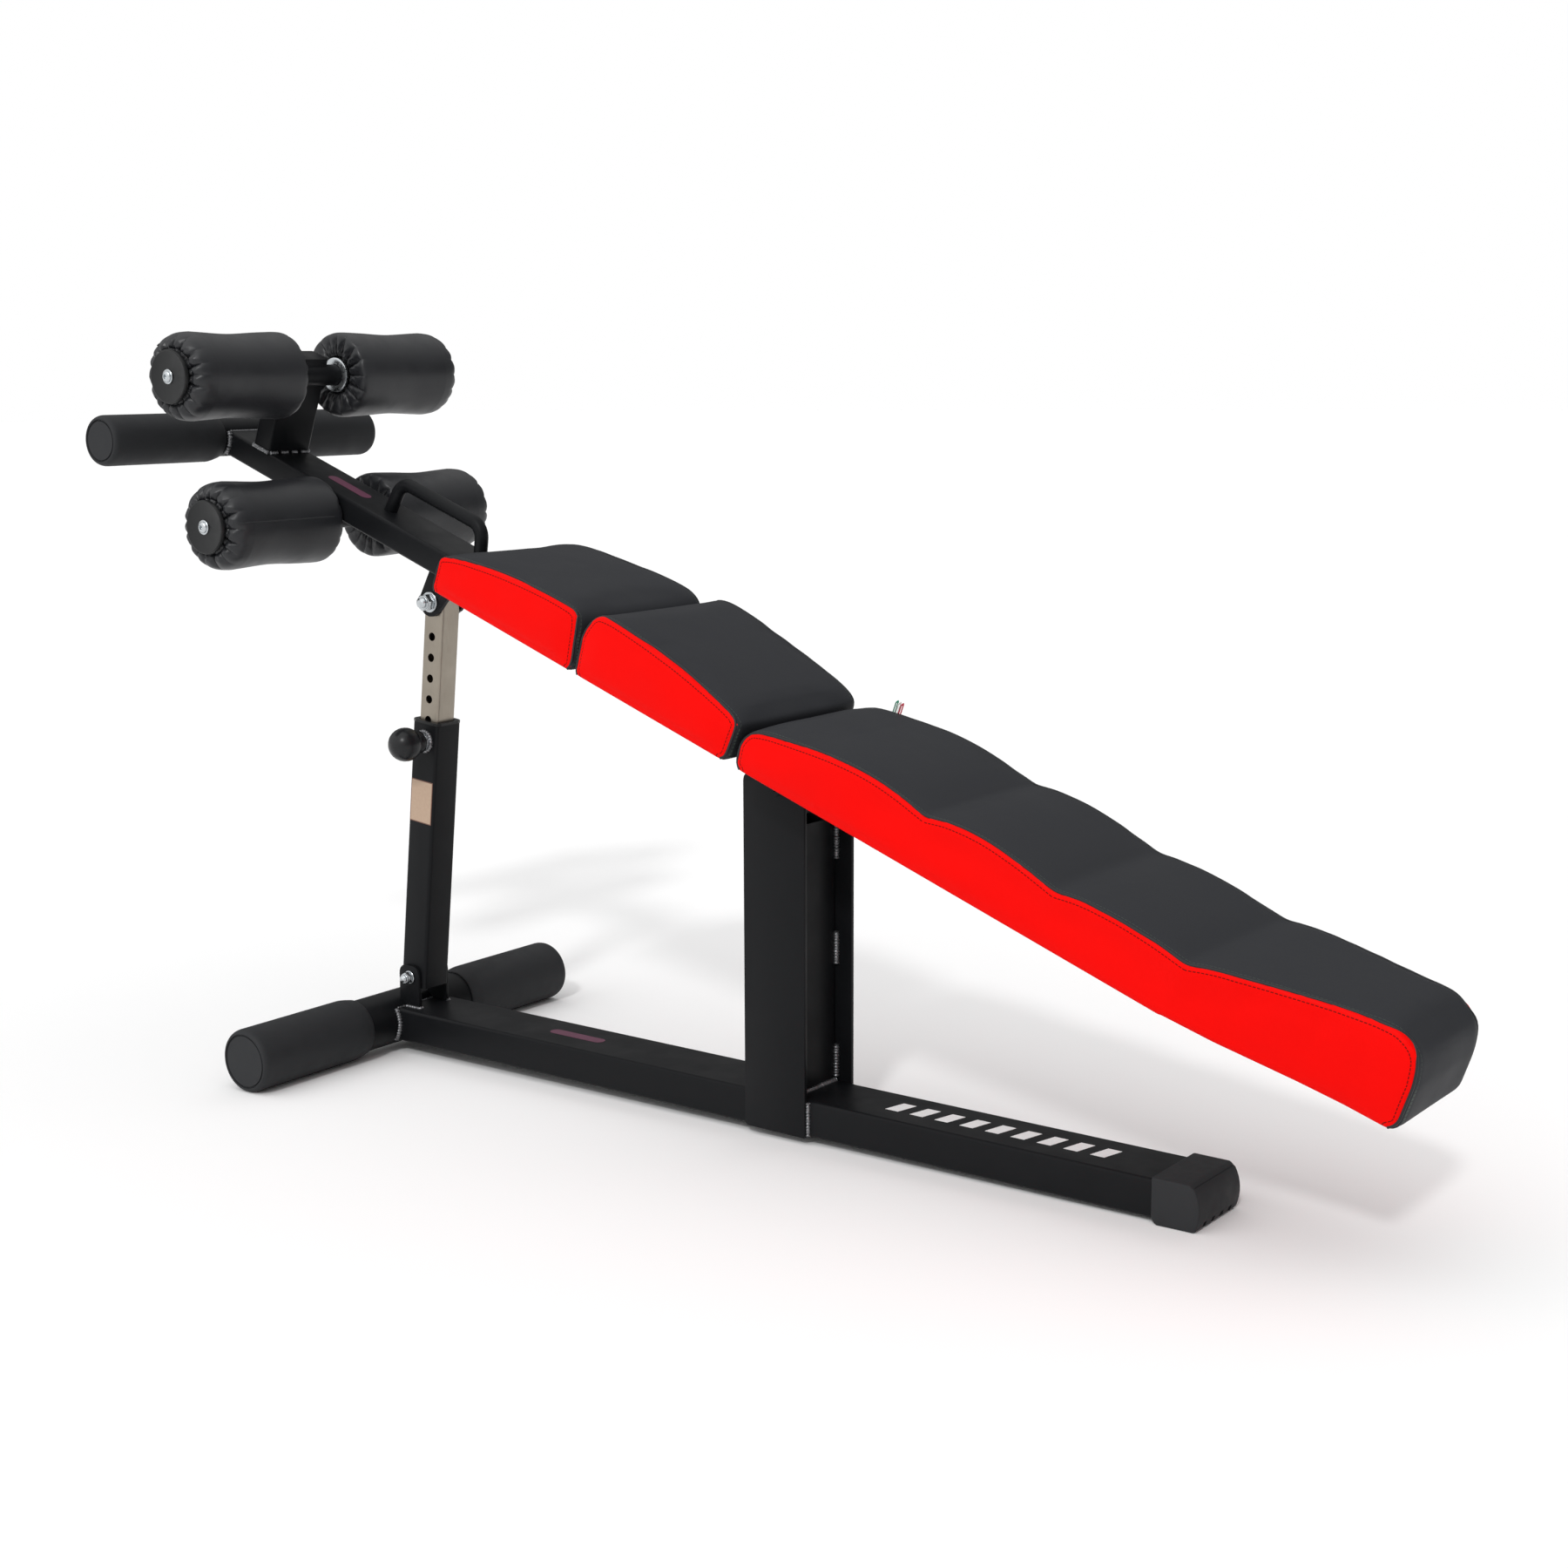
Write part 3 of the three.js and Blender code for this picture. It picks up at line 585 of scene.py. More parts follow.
def welt_leather():
    """Folded edge of the charcoal cover, stretched smooth over its cord."""
    colour = bpy.context.scene.bench_colours.cover
    shade = darker(colour, 0.6)[:3]
    material, tree, shader = new_finish("Welt leatherette", shade, 0.42, Specular_IOR_Level=0.25)
    relief(tree, shader, noise(tree, 2.5, 2), 0.12, 0.6)
    return material


def foam_rubber():
    """Skinned foam rubber: matt, faintly mottled, with fine pores."""
    colour = bpy.context.scene.bench_colours.rubber
    material, tree, shader = new_finish("Foam rubber grip", colour, 0.62, Specular_IOR_Level=0.22)
    cloud = noise(tree, 18, 4)
    mottle(tree, shader, cloud, darker(colour, 0.8), darker(colour, 1.25))
    vary_gloss(tree, shader, cloud, 0.56, 0.72)
    relief(tree, shader, noise(tree, 1.4, 3), 0.08, 0.6)
    return material


def moulded_plastic(name="Moulded black plastic", code="#151617", roughness=0.38):
    """Injection-moulded nylon: even, half-gloss, with a very fine spark texture."""
    material, tree, shader = new_finish(name, srgb(code), roughness, Specular_IOR_Level=0.3)
    vary_gloss(tree, shader, noise(tree, 12, 2), roughness - 0.04, roughness + 0.06)
    relief(tree, shader, noise(tree, 1.2, 2), 0.03, 0.5)
    return material


def zinc_plate():
    """Bright zinc plating on fasteners: blue-white, slightly cloudy."""
    material, tree, shader = new_finish("Zinc plated steel", srgb("#c3c7cb"), 0.28, Metallic=1.0)
    cloud = noise(tree, 4, 3)
    vary_gloss(tree, shader, cloud, 0.2, 0.4)
    mottle(tree, shader, cloud, opaque("#aab0b4"), opaque("#d5d8da"))
    relief(tree, shader, noise(tree, 1.5, 2), 0.04, 0.5)
    return material


def polished_nickel():
    """Nickel-plated tube: warm grey, drawn lengthwise, with faint sliding marks."""
    material, tree, shader = new_finish("Nickel plated tube", srgb("#958d81"), 0.34, Metallic=1.0)
    where = add_node(tree, "ShaderNodeTexCoord").outputs["Object"]
    along = add_node(
        tree, "ShaderNodeMapping", {"vector_type": "TEXTURE"},
        {"Vector": where, "Scale": (1.0, 1.0, 30.0)},
    ).outputs["Vector"]
    marks = noise(tree, 1.5, 3, along)
    vary_gloss(tree, shader, marks, 0.28, 0.42)
    mottle(tree, shader, noise(tree, 30, 3), opaque("#8a8277"), opaque("#a0988c"))
    relief(tree, shader, marks, 0.02, 0.4)
    return material


def birch_plywood():
    """Birch plywood edge and face: pale brown with grain along the bench."""
    material, tree, shader = new_finish("Birch plywood", srgb("#b08a5a"), 0.7)
    where = add_node(tree, "ShaderNodeTexCoord").outputs["Object"]
    grain = add_node(
        tree, "ShaderNodeMapping", {"vector_type": "TEXTURE"},
        {"Vector": where, "Rotation": (0, DECLINE, 0), "Scale": (20.0, 1.0, 1.0)},
    ).outputs["Vector"]
    streaks = noise(tree, 2.5, 4, grain)
    mottle(tree, shader, streaks, opaque("#8d6a41"), opaque("#c7a373"))
    relief(tree, shader, streaks, 0.1, 0.5)
    return material


def printed_vinyl(name, code, second):
    """Printed self-adhesive vinyl: flat colour with a slight mottle, half-gloss."""
    material, tree, shader = new_finish(name, srgb(code), 0.4)
    mottle(tree, shader, noise(tree, 3, 3), opaque(code), opaque(second))
    relief(tree, shader, noise(tree, 2, 2), 0.03, 0.4)
    return material


def woven_ribbon(name, code):
    """Woven polyester ribbon: matt, with a fine cross weave."""
    material, tree, shader = new_finish(name, srgb(code), 0.8, Sheen_Weight=0.3)
    where = add_node(tree, "ShaderNodeTexCoord").outputs["Object"]
    weave = add_node(
        tree, "ShaderNodeTexWave", {"bands_direction": "Z"}, {"Vector": where, "Scale": 320.0}
    ).outputs["Fac"]
    relief(tree, shader, weave, 0.15, 0.6)
    return material


FINISH = {}


def make_finishes():
    """One material for each finish, by a short name."""
    FINISH.update(
        paint=powder_coat(),
        weld=weld_steel(),
        roller=roller_leather(),
        cushion=cushion_leather(),
        welt=welt_leather(),
        rubber=foam_rubber(),
        plastic=moulded_plastic(),
        knob=moulded_plastic("Phenolic knob", "#17181a", 0.3),
        zinc=zinc_plate(),
        nickel=polished_nickel(),
        plywood=birch_plywood(),
        oval=printed_vinyl("Plum sticker", "#4e2036", "#6b3450"),
        label=printed_vinyl("Tan label", "#b59c86", "#a88e78"),
        border=printed_vinyl("Label border", "#6f4a3c", "#5f3f34"),
        white=printed_vinyl("White sticker", "#ffffff", "#f4f4f4"),
        green=woven_ribbon("Green ribbon", "#1e8a6a"),
        cream=woven_ribbon("White ribbon", "#e8e8e4"),
        cherry=woven_ribbon("Red ribbon", "#c8143c"),
    )


SLOT_FINISH = {
    "black_paint": "paint",
    "grip_rubber": "rubber",
    "black_plastic": "plastic",
    "red_leather": "cushion",
    "black_leather": "roller",
    "zinc_steel": "zinc",
    "nickel_steel": "nickel",
    "plywood": "plywood",
}


def paint_cad_nodes():
    """Every CAD node that still shows takes the finish of its slot."""
    slots = {part["node"]: part["material_slot"] for part in frame["record"]["subparts"]}
    for name, obj in frame["nodes"].items():
        obj.data.materials.clear()
        obj.data.materials.append(FINISH[SLOT_FINISH[slots[name]]])


# ---------------------------------------------------------------- base frame
def build_base_frame():
    """Foot tube, base beam, post plates, post web and strut ears."""
    radius, z = FOOT_TUBE["radius"], FOOT_TUBE["z"]
    wall = [(radius - 2, -236), (radius, -236), (radius, 236), (radius - 2, 236)]
    tube = turned("foot_pipe", wall, 72, (0, z))
    painted(tube, BASE, "base", "foot_tube")

    half, rise = BASE_BEAM["width"] / 2, BASE_BEAM["height"] / 2
    low, high = BASE_BEAM["z"] - rise, BASE_BEAM["z"] + rise
    beam = box_tube("base_tube", (18, BASE_BEAM["end"]), (-half, half), (low, high), 0)
    painted(beam, BASE, "base", "base_beam")

    left, right = POST["x"] - POST["width"] / 2, POST["x"] + POST["width"] / 2
    bottom, top = POST["bottom"], POST["top"]
    outline = [(left + 3, bottom), (right, bottom), (right, PIVOT[1] - 6)]
    outline += bend((right, PIVOT[1] - 6), (right - 2, PIVOT[1] + 3), (right - 12, PIVOT[1] + 7))[1:]
    outline += [(PIVOT[0] + 6, top), (left + 10, top)]
    outline += bend((left + 10, top), (left, top), (left, top - 10))[1:]
    outline += [(left, bottom + 3)]
    for side, sign in SIDES:
        inner, outer = sorted((sign * PLATE_INNER, sign * (PLATE_INNER + PLATE)))
        plate = soften(plate_cut(f"post_cheek_{side}", outline, inner, outer), 0.8)
        painted(plate, BASE, "base", f"post_plate_{side}")

    near, far = POST["x"] - POST["web"] / 2, POST["x"] + POST["web"] / 2
    web = box_tube("post_box", (near, far), (-half, half), (BASE_TOP + 0.3, POST["web_top"]), 2)
    painted(web, BASE, "base", "post_web")

    foot, reach = BASE_TOP + 0.3, STRUT_FOOT[1] + 14
    ear = [(21, foot), (50, foot), (50, reach - 12)]
    ear += bend((50, reach - 12), (50, reach), (38, reach))[1:]
    ear += bend((29.5, reach), (17.5, reach), (17.5, reach - 12)) + [(17.5, foot + 6)]
    for side, sign in SIDES:
        inner, outer = sorted((sign * 20.4, sign * 25.4))
        plate = soften(plate_cut(f"strut_ear_{side}", ear, inner, outer), 0.7)
        painted(plate, BASE, "base", f"strut_base_ear_{side}")


def sleeve_profile(size, bore):
    """Outline of a closed grip: tapered mouth, round shoulder, a disc let into its end."""
    radius, end, disc = size["radius"], size["end"], size["disc"]
    curl = 9
    profile = [(0, end - 0.6), (disc, end - 0.6), (disc + 0.6, end - 2.2), (disc + 1.6, end - 2.2)]
    profile += [(disc + 2.4, end - 0.2)] if radius - curl < disc + 2.4 else [(disc + 2.4, end)]
    inner = max(radius - curl, disc + 2.6)
    for r, y in arc((inner, end - curl), 1, 80, 0, 6):
        across, up = r - inner, y - (end - curl)
        profile.append((inner + across * (radius - inner), end - curl + up * curl))
    mouth = size["mouth"]
    profile += [(radius, size["shoulder"] + 2)]
    shoulder = size["shoulder"]
    profile += bend((radius, shoulder + 2), (radius, shoulder - 2), (bore + 2.2, mouth + 1))[1:]
    profile += [(bore + 1.4, mouth), (bore, mouth), (bore, end - 14), (0, end - 14)]
    return profile


def build_sleeves():
    """Closed foam grips on the front foot tube and on the upper crossbar."""
    kinds = (
        ("foot", FOOT_SLEEVE, FOOT_TUBE["radius"], (0, FOOT_TUBE["z"]), BASE, "base"),
        ("crossbar", CROSS_SLEEVE, CROSSBAR["radius"], (CROSSBAR["x"], CROSSBAR["z"]), BENCH, "bench"),
    )
    for kind, size, bore, centre, axes, body in kinds:
        profile = sleeve_profile(size, bore + 0.3)
        for side, sign in SIDES:
            grip = turned(f"{kind}_grip_{side}", [(r, y * sign) for r, y in profile], 72, centre)
            settle(grip, axes, body, "grip_rubber", FINISH["rubber"], f"{kind}_sleeve_{side}", smooth=50)


def build_boot():
    """Rubber boot on the beam's rear end: bulged nose, ribs underneath."""
    start_x, corner, nose, top = BOOT["start"], BOOT["corner"], BOOT["nose"], BOOT["top"]
    floor = math.tan(BASE_SLOPE)
    outline = [(start_x, start_x * floor + 6), (start_x + 5, (start_x + 5) * floor)]
    outline += [(corner - 3, (corner - 3) * floor)]
    outline += bend((corner, corner * floor + 3), (nose + 4, 36), (corner - 2, top - 5), 8)
    outline += [(corner - 8, top), (start_x, top)]
    half = BOOT["width"] / 2
    boot = soften(plate_cut("rear_boot", outline, -half, half), 2.2, 3)
    ribs = []
    pitch = BOOT["width"] / 5
    for i in range(1, 5):
        y = -half + i * pitch
        for x, rise in ((start_x + 12, 2), (BASE_BEAM["end"] + 2, 8)):
            ribs.append(box("rib", (x, nose + 6), (y - 3.2, y + 3.2), (-5, corner * floor + rise)))
    slack = BASE_BEAM["width"] / 2 + 0.3
    inside = (BASE_BEAM["z"] - 20.3, BASE_TOP + 0.3)
    ribs.append(box("pocket", (start_x - 5, BASE_BEAM["end"] + 0.3), (-slack, slack), inside))
    settle(cut(boot, *ribs), BASE, "base", "grip_rubber", FINISH["rubber"], "rear_foot_cap")


# ---------------------------------------------------------------- tilting frame
def build_bench_frame():
    """Bench beam, crossbar, roller post and the rollers' axles."""
    half = BEAM["width"] / 2
    beam = box_tube("bench_tube", (BEAM["start"], BEAM["end"]), (-half, half), (-BEAM["height"], 0), 0)
    painted(beam, BENCH, "bench", "bench_beam")

    radius = CROSSBAR["radius"]
    wall = [(radius - 2, -190), (radius, -190), (radius, 190), (radius - 2, 190)]
    bar = turned("cross_pipe", wall, 64, (CROSSBAR["x"], CROSSBAR["z"]))
    painted(bar, BENCH, "bench", "crossbar")

    front, depth = ROLLER_POST["front"], ROLLER_POST["depth"]
    post = box_tube("roller_upright", (front - depth, front), (-half, half), (0.3, ROLLER_POST["top"]), 2,
                    open_ends=False)
    painted(soften(post, 0.8), BENCH, "bench", "roller_post")

    for level, centre in AXLES.items():
        radius, left, right = AXLE["radius"], AXLE["left"], AXLE["right"]
        wall = [(4.4, left), (radius - 1, left), (radius, left + 1), (radius, right - 1)]
        bar = turned(f"{level}_axle_tube", wall + [(radius - 1, right), (4.4, right)], 48, centre)
        painted(bar, BENCH, "bench", f"{level}_axle")


def build_handle():
    """A round bar: a circle extruded up one leg, spun round each bend and down again."""
    first, last, height = HANDLE["start"], HANDLE["end"], HANDLE["height"]
    splay, radius, curl = HANDLE["splay"], HANDLE["radius"], HANDLE["bend"]
    lean = math.atan2(splay, height + 5)
    leg = Vector((math.sin(lean), 0, math.cos(lean)))
    turn = math.pi / 2 - lean
    corner = Vector((first + splay, 0, height))
    cutback = curl * math.tan(turn / 2)
    foot = Vector((first, 0, -5)) + leg * 4
    into = corner - leg * cutback
    bar = start("hand_hold", "circle", vertices=28, radius=radius * MM, fill_type="NGON",
                location=foot * MM, rotation=(0, lean, 0))
    bpy.ops.object.transform_apply(location=True, rotation=True, scale=True)
    bpy.ops.object.mode_set(mode="EDIT")
    bpy.ops.mesh.select_all(action="SELECT")
    bpy.ops.mesh.extrude_region_move(TRANSFORM_OT_translate={"value": (into - foot) * MM})
    centre = into + Vector((leg.z, 0, -leg.x)) * curl
    bpy.ops.mesh.spin(steps=12, angle=-turn, center=centre * MM, axis=(0, 1, 0))
    run = (last - first - 2 * splay) - 2 * cutback
    bpy.ops.mesh.extrude_region_move(TRANSFORM_OT_translate={"value": (run * MM, 0, 0)})
    centre = Vector((corner.x + cutback + run, 0, height - curl))
    bpy.ops.mesh.spin(steps=12, angle=-turn, center=centre * MM, axis=(0, 1, 0))
    down = Vector((leg.x, 0, -leg.z)) * (into - foot).length
    bpy.ops.mesh.extrude_region_move(TRANSFORM_OT_translate={"value": down * MM})
    painted(close_up(bar), BENCH, "bench", "handle", smooth=60)


# ---------------------------------------------------------------- strut
def drill(radius, depth, height, sides):
    """The shape of a hole through a strut tube's -Y wall."""
    return start("tool", "cylinder", vertices=sides, radius=radius * MM, depth=depth * MM,
                 location=(0, -depth / 2 * MM, height * MM), rotation=(math.pi / 2, 0, 0))


def build_strut():
    """Outer and inner tubes with their holes, and the ball knob."""
    half = OUTER_TUBE["width"] / 2
    reach = (OUTER_TUBE["start"], OUTER_TUBE["end"])
    outer = box_tube("strut_sleeve", (-half, half), (-half, half), reach, 2)
    painted(cut(outer, drill(8.4, 60, PIN_HOLES["height"], 40)), STRUT, "strut_outer", "strut_outer_tube")

    half = INNER_TUBE["width"] / 2
    reach = (INNER_TUBE["start"], INNER_TUBE["end"])
    inner = box_tube("strut_slide", (-half, half), (-half, half), reach, 2)
    tools = []
    for i in range(-PIN_HOLES["below"], PIN_HOLES["above"] + 1):
        height = PIN_HOLES["height"] + i * PIN_HOLES["pitch"]
        tools.append(drill(PIN_HOLES["radius"], 30, height, 32))
    settle(cut(inner, *tools), STRUT, "strut_inner", "nickel_steel", FINISH["nickel"], "strut_inner_tube")

    centre, ball, collar = KNOB["centre"], KNOB["ball"], KNOB["collar"]
    ring = arc((0, 0), 1, 50, -90, 16)
    profile = [(4.3, -27.3), (collar - 1.5, -27.3), (collar, -28.8), (collar, -32.5), (collar - 1.2, -34.5)]
    profile += [(12.4, -35.6)]
    profile += [(ball * x, centre + ball * y) for x, y in ring]
    profile += [(0, -55.3), (4.3, -55.3)]
    knob = turned("ball_knob", profile, 56, (0, PIN_HOLES["height"]))
    settle(knob, STRUT, "plunger", "black_plastic", FINISH["knob"], "pull_knob", smooth=60)


# ---------------------------------------------------------------- fasteners
def hexagon(name, across, y0, y1, centre):
    """A nut or bolt head between two places along Y."""
    low, high = sorted((y0, y1))
    middle = (centre[0] * MM, (low + high) / 2 * MM, centre[1] * MM)
    nut = start(name, "cylinder", vertices=6, radius=across / math.sqrt(3) * MM, depth=(high - low) * MM,
                location=middle, rotation=(math.pi / 2, 0, 0))
    bpy.ops.object.transform_apply(location=True, rotation=True, scale=True)
    return soften(nut, 0.9, 2)


def washer(name, radius, y0, y1, centre):
    """A ring with broken edges between two places along Y."""
    low, high = sorted((y0, y1))
    edge = 0.4
    profile = [(2, low), (radius - edge, low), (radius, low + edge), (radius, high - edge)]
    return turned(name, profile + [(radius - edge, high), (2, high)], 40, centre)


def bolt_pair(name, size, centre, axes, body, slot="zinc_steel", finish="zinc"):
    """Hex bolt with its head on +Y, and on -Y its washer, nut and rounded thread end."""
    radius, reach, across, ring, tail = size
    face = reach + 0.3
    head = [
        washer("washer", ring, face, face + 2, centre),
        hexagon("head", across, face + 2, face + 2 + radius * 1.3, centre),
    ]
    tip = -face - 2 - radius * 1.6
    threads = [(0, tip - tail), (radius - 2.4, tip - tail), (radius - 0.8, tip - tail + 1)]
    pitch = 1.25
    y = tip - tail + 1.4
    while y < tip + 2:
        threads += [(radius, y), (radius - 0.5, y + pitch / 2)]
        y += pitch
    head.append(turned("shank", threads + [(radius, face), (0, face)], 28, centre))
    bolt = join(f"{name}_hex_bolt", head)
    settle(bolt, axes, body, slot, FINISH[finish], f"{name}_bolt", smooth=30)
    nut = [
        washer("washer", ring, -face, -face - 2, centre),
        hexagon("nut", across, -face - 2, tip, centre),
        washer("collar", across / 2 - 0.6, tip, tip - 1.6, centre),
    ]
    settle(join(f"{name}_lock_nut", nut), axes, body, slot, FINISH[finish], f"{name}_nut", smooth=30)


def in_bench(point):
    """A BASE [x, z] point in the BENCH axes."""
    row = BASE @ Vector((point[0] * MM, 0, point[1] * MM))
    local = BENCH.inverted() @ row
    return (local.x / MM, local.z / MM)


def build_fasteners():
    """Bolts and nuts of the post pivot and of the strut's two ends, and the board screws."""
    bolt_pair("post_pivot", (4, 45.3, 13, 8, 0.6), PIVOT, BASE, "base", "black_paint", "paint")
    bolt_pair("strut_base", (4, 25.4, 13, 8, 6), STRUT_FOOT, BASE, "base")
    bolt_pair("strut_top", (6, 20.5, 18, 12, 6), in_bench(STRUT_HEAD), BENCH, "bench")
    under = -BEAM["height"]
    dome = [(0, under), (5.5, under), (5.5, under - 0.8), (4.4, under - 2.2)]
    dome += [(2.2, under - 3), (2, under - 1.6)]
    screws = []
    for x in (215, 385, 435, 600, 700, 850, 1000, 1150, 1270):
        screws.append(turned("screw", dome + [(0, under - 1.6)], 20, (x, 0), axis="Z"))
    settle(join("board_screws", screws), BENCH, "bench", "zinc_steel", FINISH["zinc"])


# ---------------------------------------------------------------- weld beads
def pipe_edge(radius, centre, y, low, high, steps=14):
    """Points up the +X side of a pipe, at one place along it."""
    points = []
    for i in range(steps + 1):
        z = low + (high - low) * i / steps
        points.append((centre[0] + math.sqrt(radius ** 2 - (z - centre[1]) ** 2), y, z))
    return points


def build_welds():
    """Rippled beads where tubes and plates are joined."""
    bead = bpy.context.scene.bench_sizes.bead
    foot = (0, FOOT_TUBE["z"])
    low, high = BASE_BEAM["z"] - 18, BASE_TOP - 1
    edge = POST["x"] + POST["width"] / 2
    web = POST["x"] + POST["web"] / 2
    strips = []
    for y in (-40, 40):
        strips.append((pipe_edge(FOOT_TUBE["radius"] - 1, foot, y, low, high), 1.15))
        strips.append(([(edge + 0.4, y, 17), (edge + 0.4, y, 54)], 0.8))
        for stretch in ((60, 96), (186, 222), (302, 340)):
            strips.append(([(web + 0.5, math.copysign(39.4, y), z) for z in stretch], 1.0))
    strips.append(([(26, -38, BASE_TOP - 0.6), (26, 38, BASE_TOP - 0.6)], 0.5))
    strips.append(([(web + 0.8, -37, BASE_TOP + 0.2), (web + 0.8, 37, BASE_TOP + 0.2)], 0.9))
    for y in (-25.6, 25.6):
        corner = [(29, y), (51, y), (51, y * 0.82)]
        strips.append(([(*point, BASE_TOP + 0.2) for point in corner], 0.6))
    base = [weld_strip(points, bead * scale) for points, scale in strips]
    settle(join("base_welds", base), BASE, "base", "black_paint", FINISH["weld"], smooth=80)

    bar = (CROSSBAR["x"], CROSSBAR["z"])
    front, half = ROLLER_POST["front"], BEAM["width"] / 2
    strips = []
    for y in (-half, half):
        strips.append((pipe_edge(CROSSBAR["radius"] - 0.5, bar, y, -29, -1), 1.2))
        strips.append(([(front - 29, y * 0.995, 0.4), (front - 1, y * 0.995, 0.4)], 0.7))
    strips.append(([(-256.5, -half + 2, -0.8), (-256.5, half - 2, -0.8)], 0.45))
    for first, last in ((-31, -20), (-14, -4), (3, 12), (18, 30)):
        strips.append(([(front + 0.6, first, 0.5), (front + 0.6, last, 0.5)], 0.65))
    head = in_bench(STRUT_HEAD)
    for y in (-20.7, 20.7):
        strips.append(([(head[0] - 10, y, -30.4), (head[0] + 32, y, -30.4)], 0.7))
    bench = [weld_strip(points, bead * scale) for points, scale in strips]
    settle(join("bench_welds", bench), BENCH, "bench", "black_paint", FINISH["weld"], smooth=80)

    ring = arc((0, PIN_HOLES["height"]), 11.4, 0, 360, 48)
    collar = weld_strip([(x, -20.2, z) for x, z in ring], bead * 0.8)
    settle(collar, STRUT, "strut_outer", "black_paint", FINISH["weld"], smooth=80)
    collar.name = collar.data.name = "housing_weld"


def weld_strip(points, radius):
    """One rippled bead along points in millimetres."""
    path = resample([Vector(p) * MM for p in points], 0.8 * MM)
    return tube_along("weld", path, radius, sides=8, ripple=0.16)


# ---------------------------------------------------------------- foot rollers
def roller_profile(begin, end):
    """Pad outline of a left roller between its two ends, [radius, distance from the middle]."""
    core, middle, shoulder = ROLLER["core"], ROLLER["middle"], ROLLER["shoulder"]
    face = begin - 2.6
    inner = spline([(22.8, face + 5), (24, face + 1.6), (28, face + 0.2), (36, face), (44, face + 0.4),
                    (48.6, face + 2.4), (50.8, face + 7), (51.2, face + 14), (shoulder, face + 22)], 5)
    side = spline([(shoulder, face + 22), (50.3, face + 42), (middle, (begin + end) / 2),
                   (50.3, end - 40), (shoulder, end - 26)], 6)[1:]
    outer = spline([(shoulder, end - 26), (50, end - 15), (47.2, end - 7.5), (42.5, end - 2),
                    (38.5, end + 0.2), (35.2, end + 0.2), (32.4, end - 1.6)], 6)[1:]
    return [(core, begin + 6), (22.6, begin + 6)] + inner + side + outer + [(32, end - 1), (core, end - 1)]


def pleat(angle, count, seed):
    """Height of the gathers at an angle: 1 on the folds, 0 in the creases, none alike."""
    drift = 0.9 * math.sin(3 * angle + seed) + 0.6 * math.sin(5 * angle + 2.1 * seed)
    wave = abs(math.sin((count * angle + drift) / 2))
    return wave ** 0.5


def rumple(angle, radius, seed):
    """Small crossing tucks of the drawn-in hem, between -1 and 1."""
    first = math.sin(31 * angle + 0.55 * radius + seed)
    second = math.sin(23 * angle - 0.8 * radius + 2.7 * seed)
    return 0.6 * first + 0.4 * second


def gather_ends(pad, centre, span, sign, seed, sizes):
    """Draws the pad's two ends into pleats that fade out at its shoulders."""
    begin, end = span
    for vertex in pad.data.vertices:
        x, y, z = vertex.co.x / MM - centre[0], abs(vertex.co.y) / MM, vertex.co.z / MM - centre[1]
        radius = math.hypot(x, z)
        if radius < 22 or begin + 20 < y < end - 22:
            continue
        outer = y > (begin + end) / 2
        inner_radius = 32.5 if outer else 24
        fade = max(0.0, min(1.0, (51.5 - radius) / (51.5 - inner_radius)))
        if outer and y < end - 2:
            fade *= max(0.0, 1 - (end - 2 - y) / 20)
        if not outer and y > begin + 2:
            fade *= max(0.0, 1 - (y - begin - 2) / 15)
        angle = math.atan2(z, x)
        strength = 0.8 + 0.2 * math.sin(7 * angle + seed * 3)
        dip = (1 - pleat(angle, sizes.pleats, seed)) * fade ** 0.7 * strength * sizes.pleat_depth / MM
        dip += fade ** 2 * (0.9 + 0.9 * rumple(angle, radius, seed))
        vertex.co.y -= sign * (1 if outer else -1) * dip * MM
        pull = 1 - 0.35 * dip / max(radius, 1)
        vertex.co.x = (centre[0] + x * pull) * MM
        vertex.co.z = (centre[1] + z * pull) * MM


def build_pad(name, body, centre, span, sign, seam_angle, sizes):
    """One spinning pad with its lengthwise seam and its two gathered ends."""
    profile = roller_profile(*span)
    seed = seam_angle / 31
    pad = turned(f"roller_cover_{name}", [(r, y * sign) for r, y in profile], 20 * sizes.pleats, centre)
    gather_ends(pad, centre, span, sign, seed, sizes)
    turn = math.radians(seam_angle)
    line = []
    for r, y in profile:
        if span[0] + 14 < y < span[1] - 5 and r > 44:
            line.append(((centre[0] + (r - 0.3) * math.cos(turn)) * MM, y * sign * MM,
                         (centre[1] + (r - 0.3) * math.sin(turn)) * MM))
    seam = tube_along("seam", resample(line, 2 * MM), 0.8 * MM, sides=8)
    pad = join(f"roller_cover_{name}", [pad, seam])
    settle(pad, BENCH, body, "black_leather", FINISH["roller"], f"roller_pad_{name}", smooth=60)


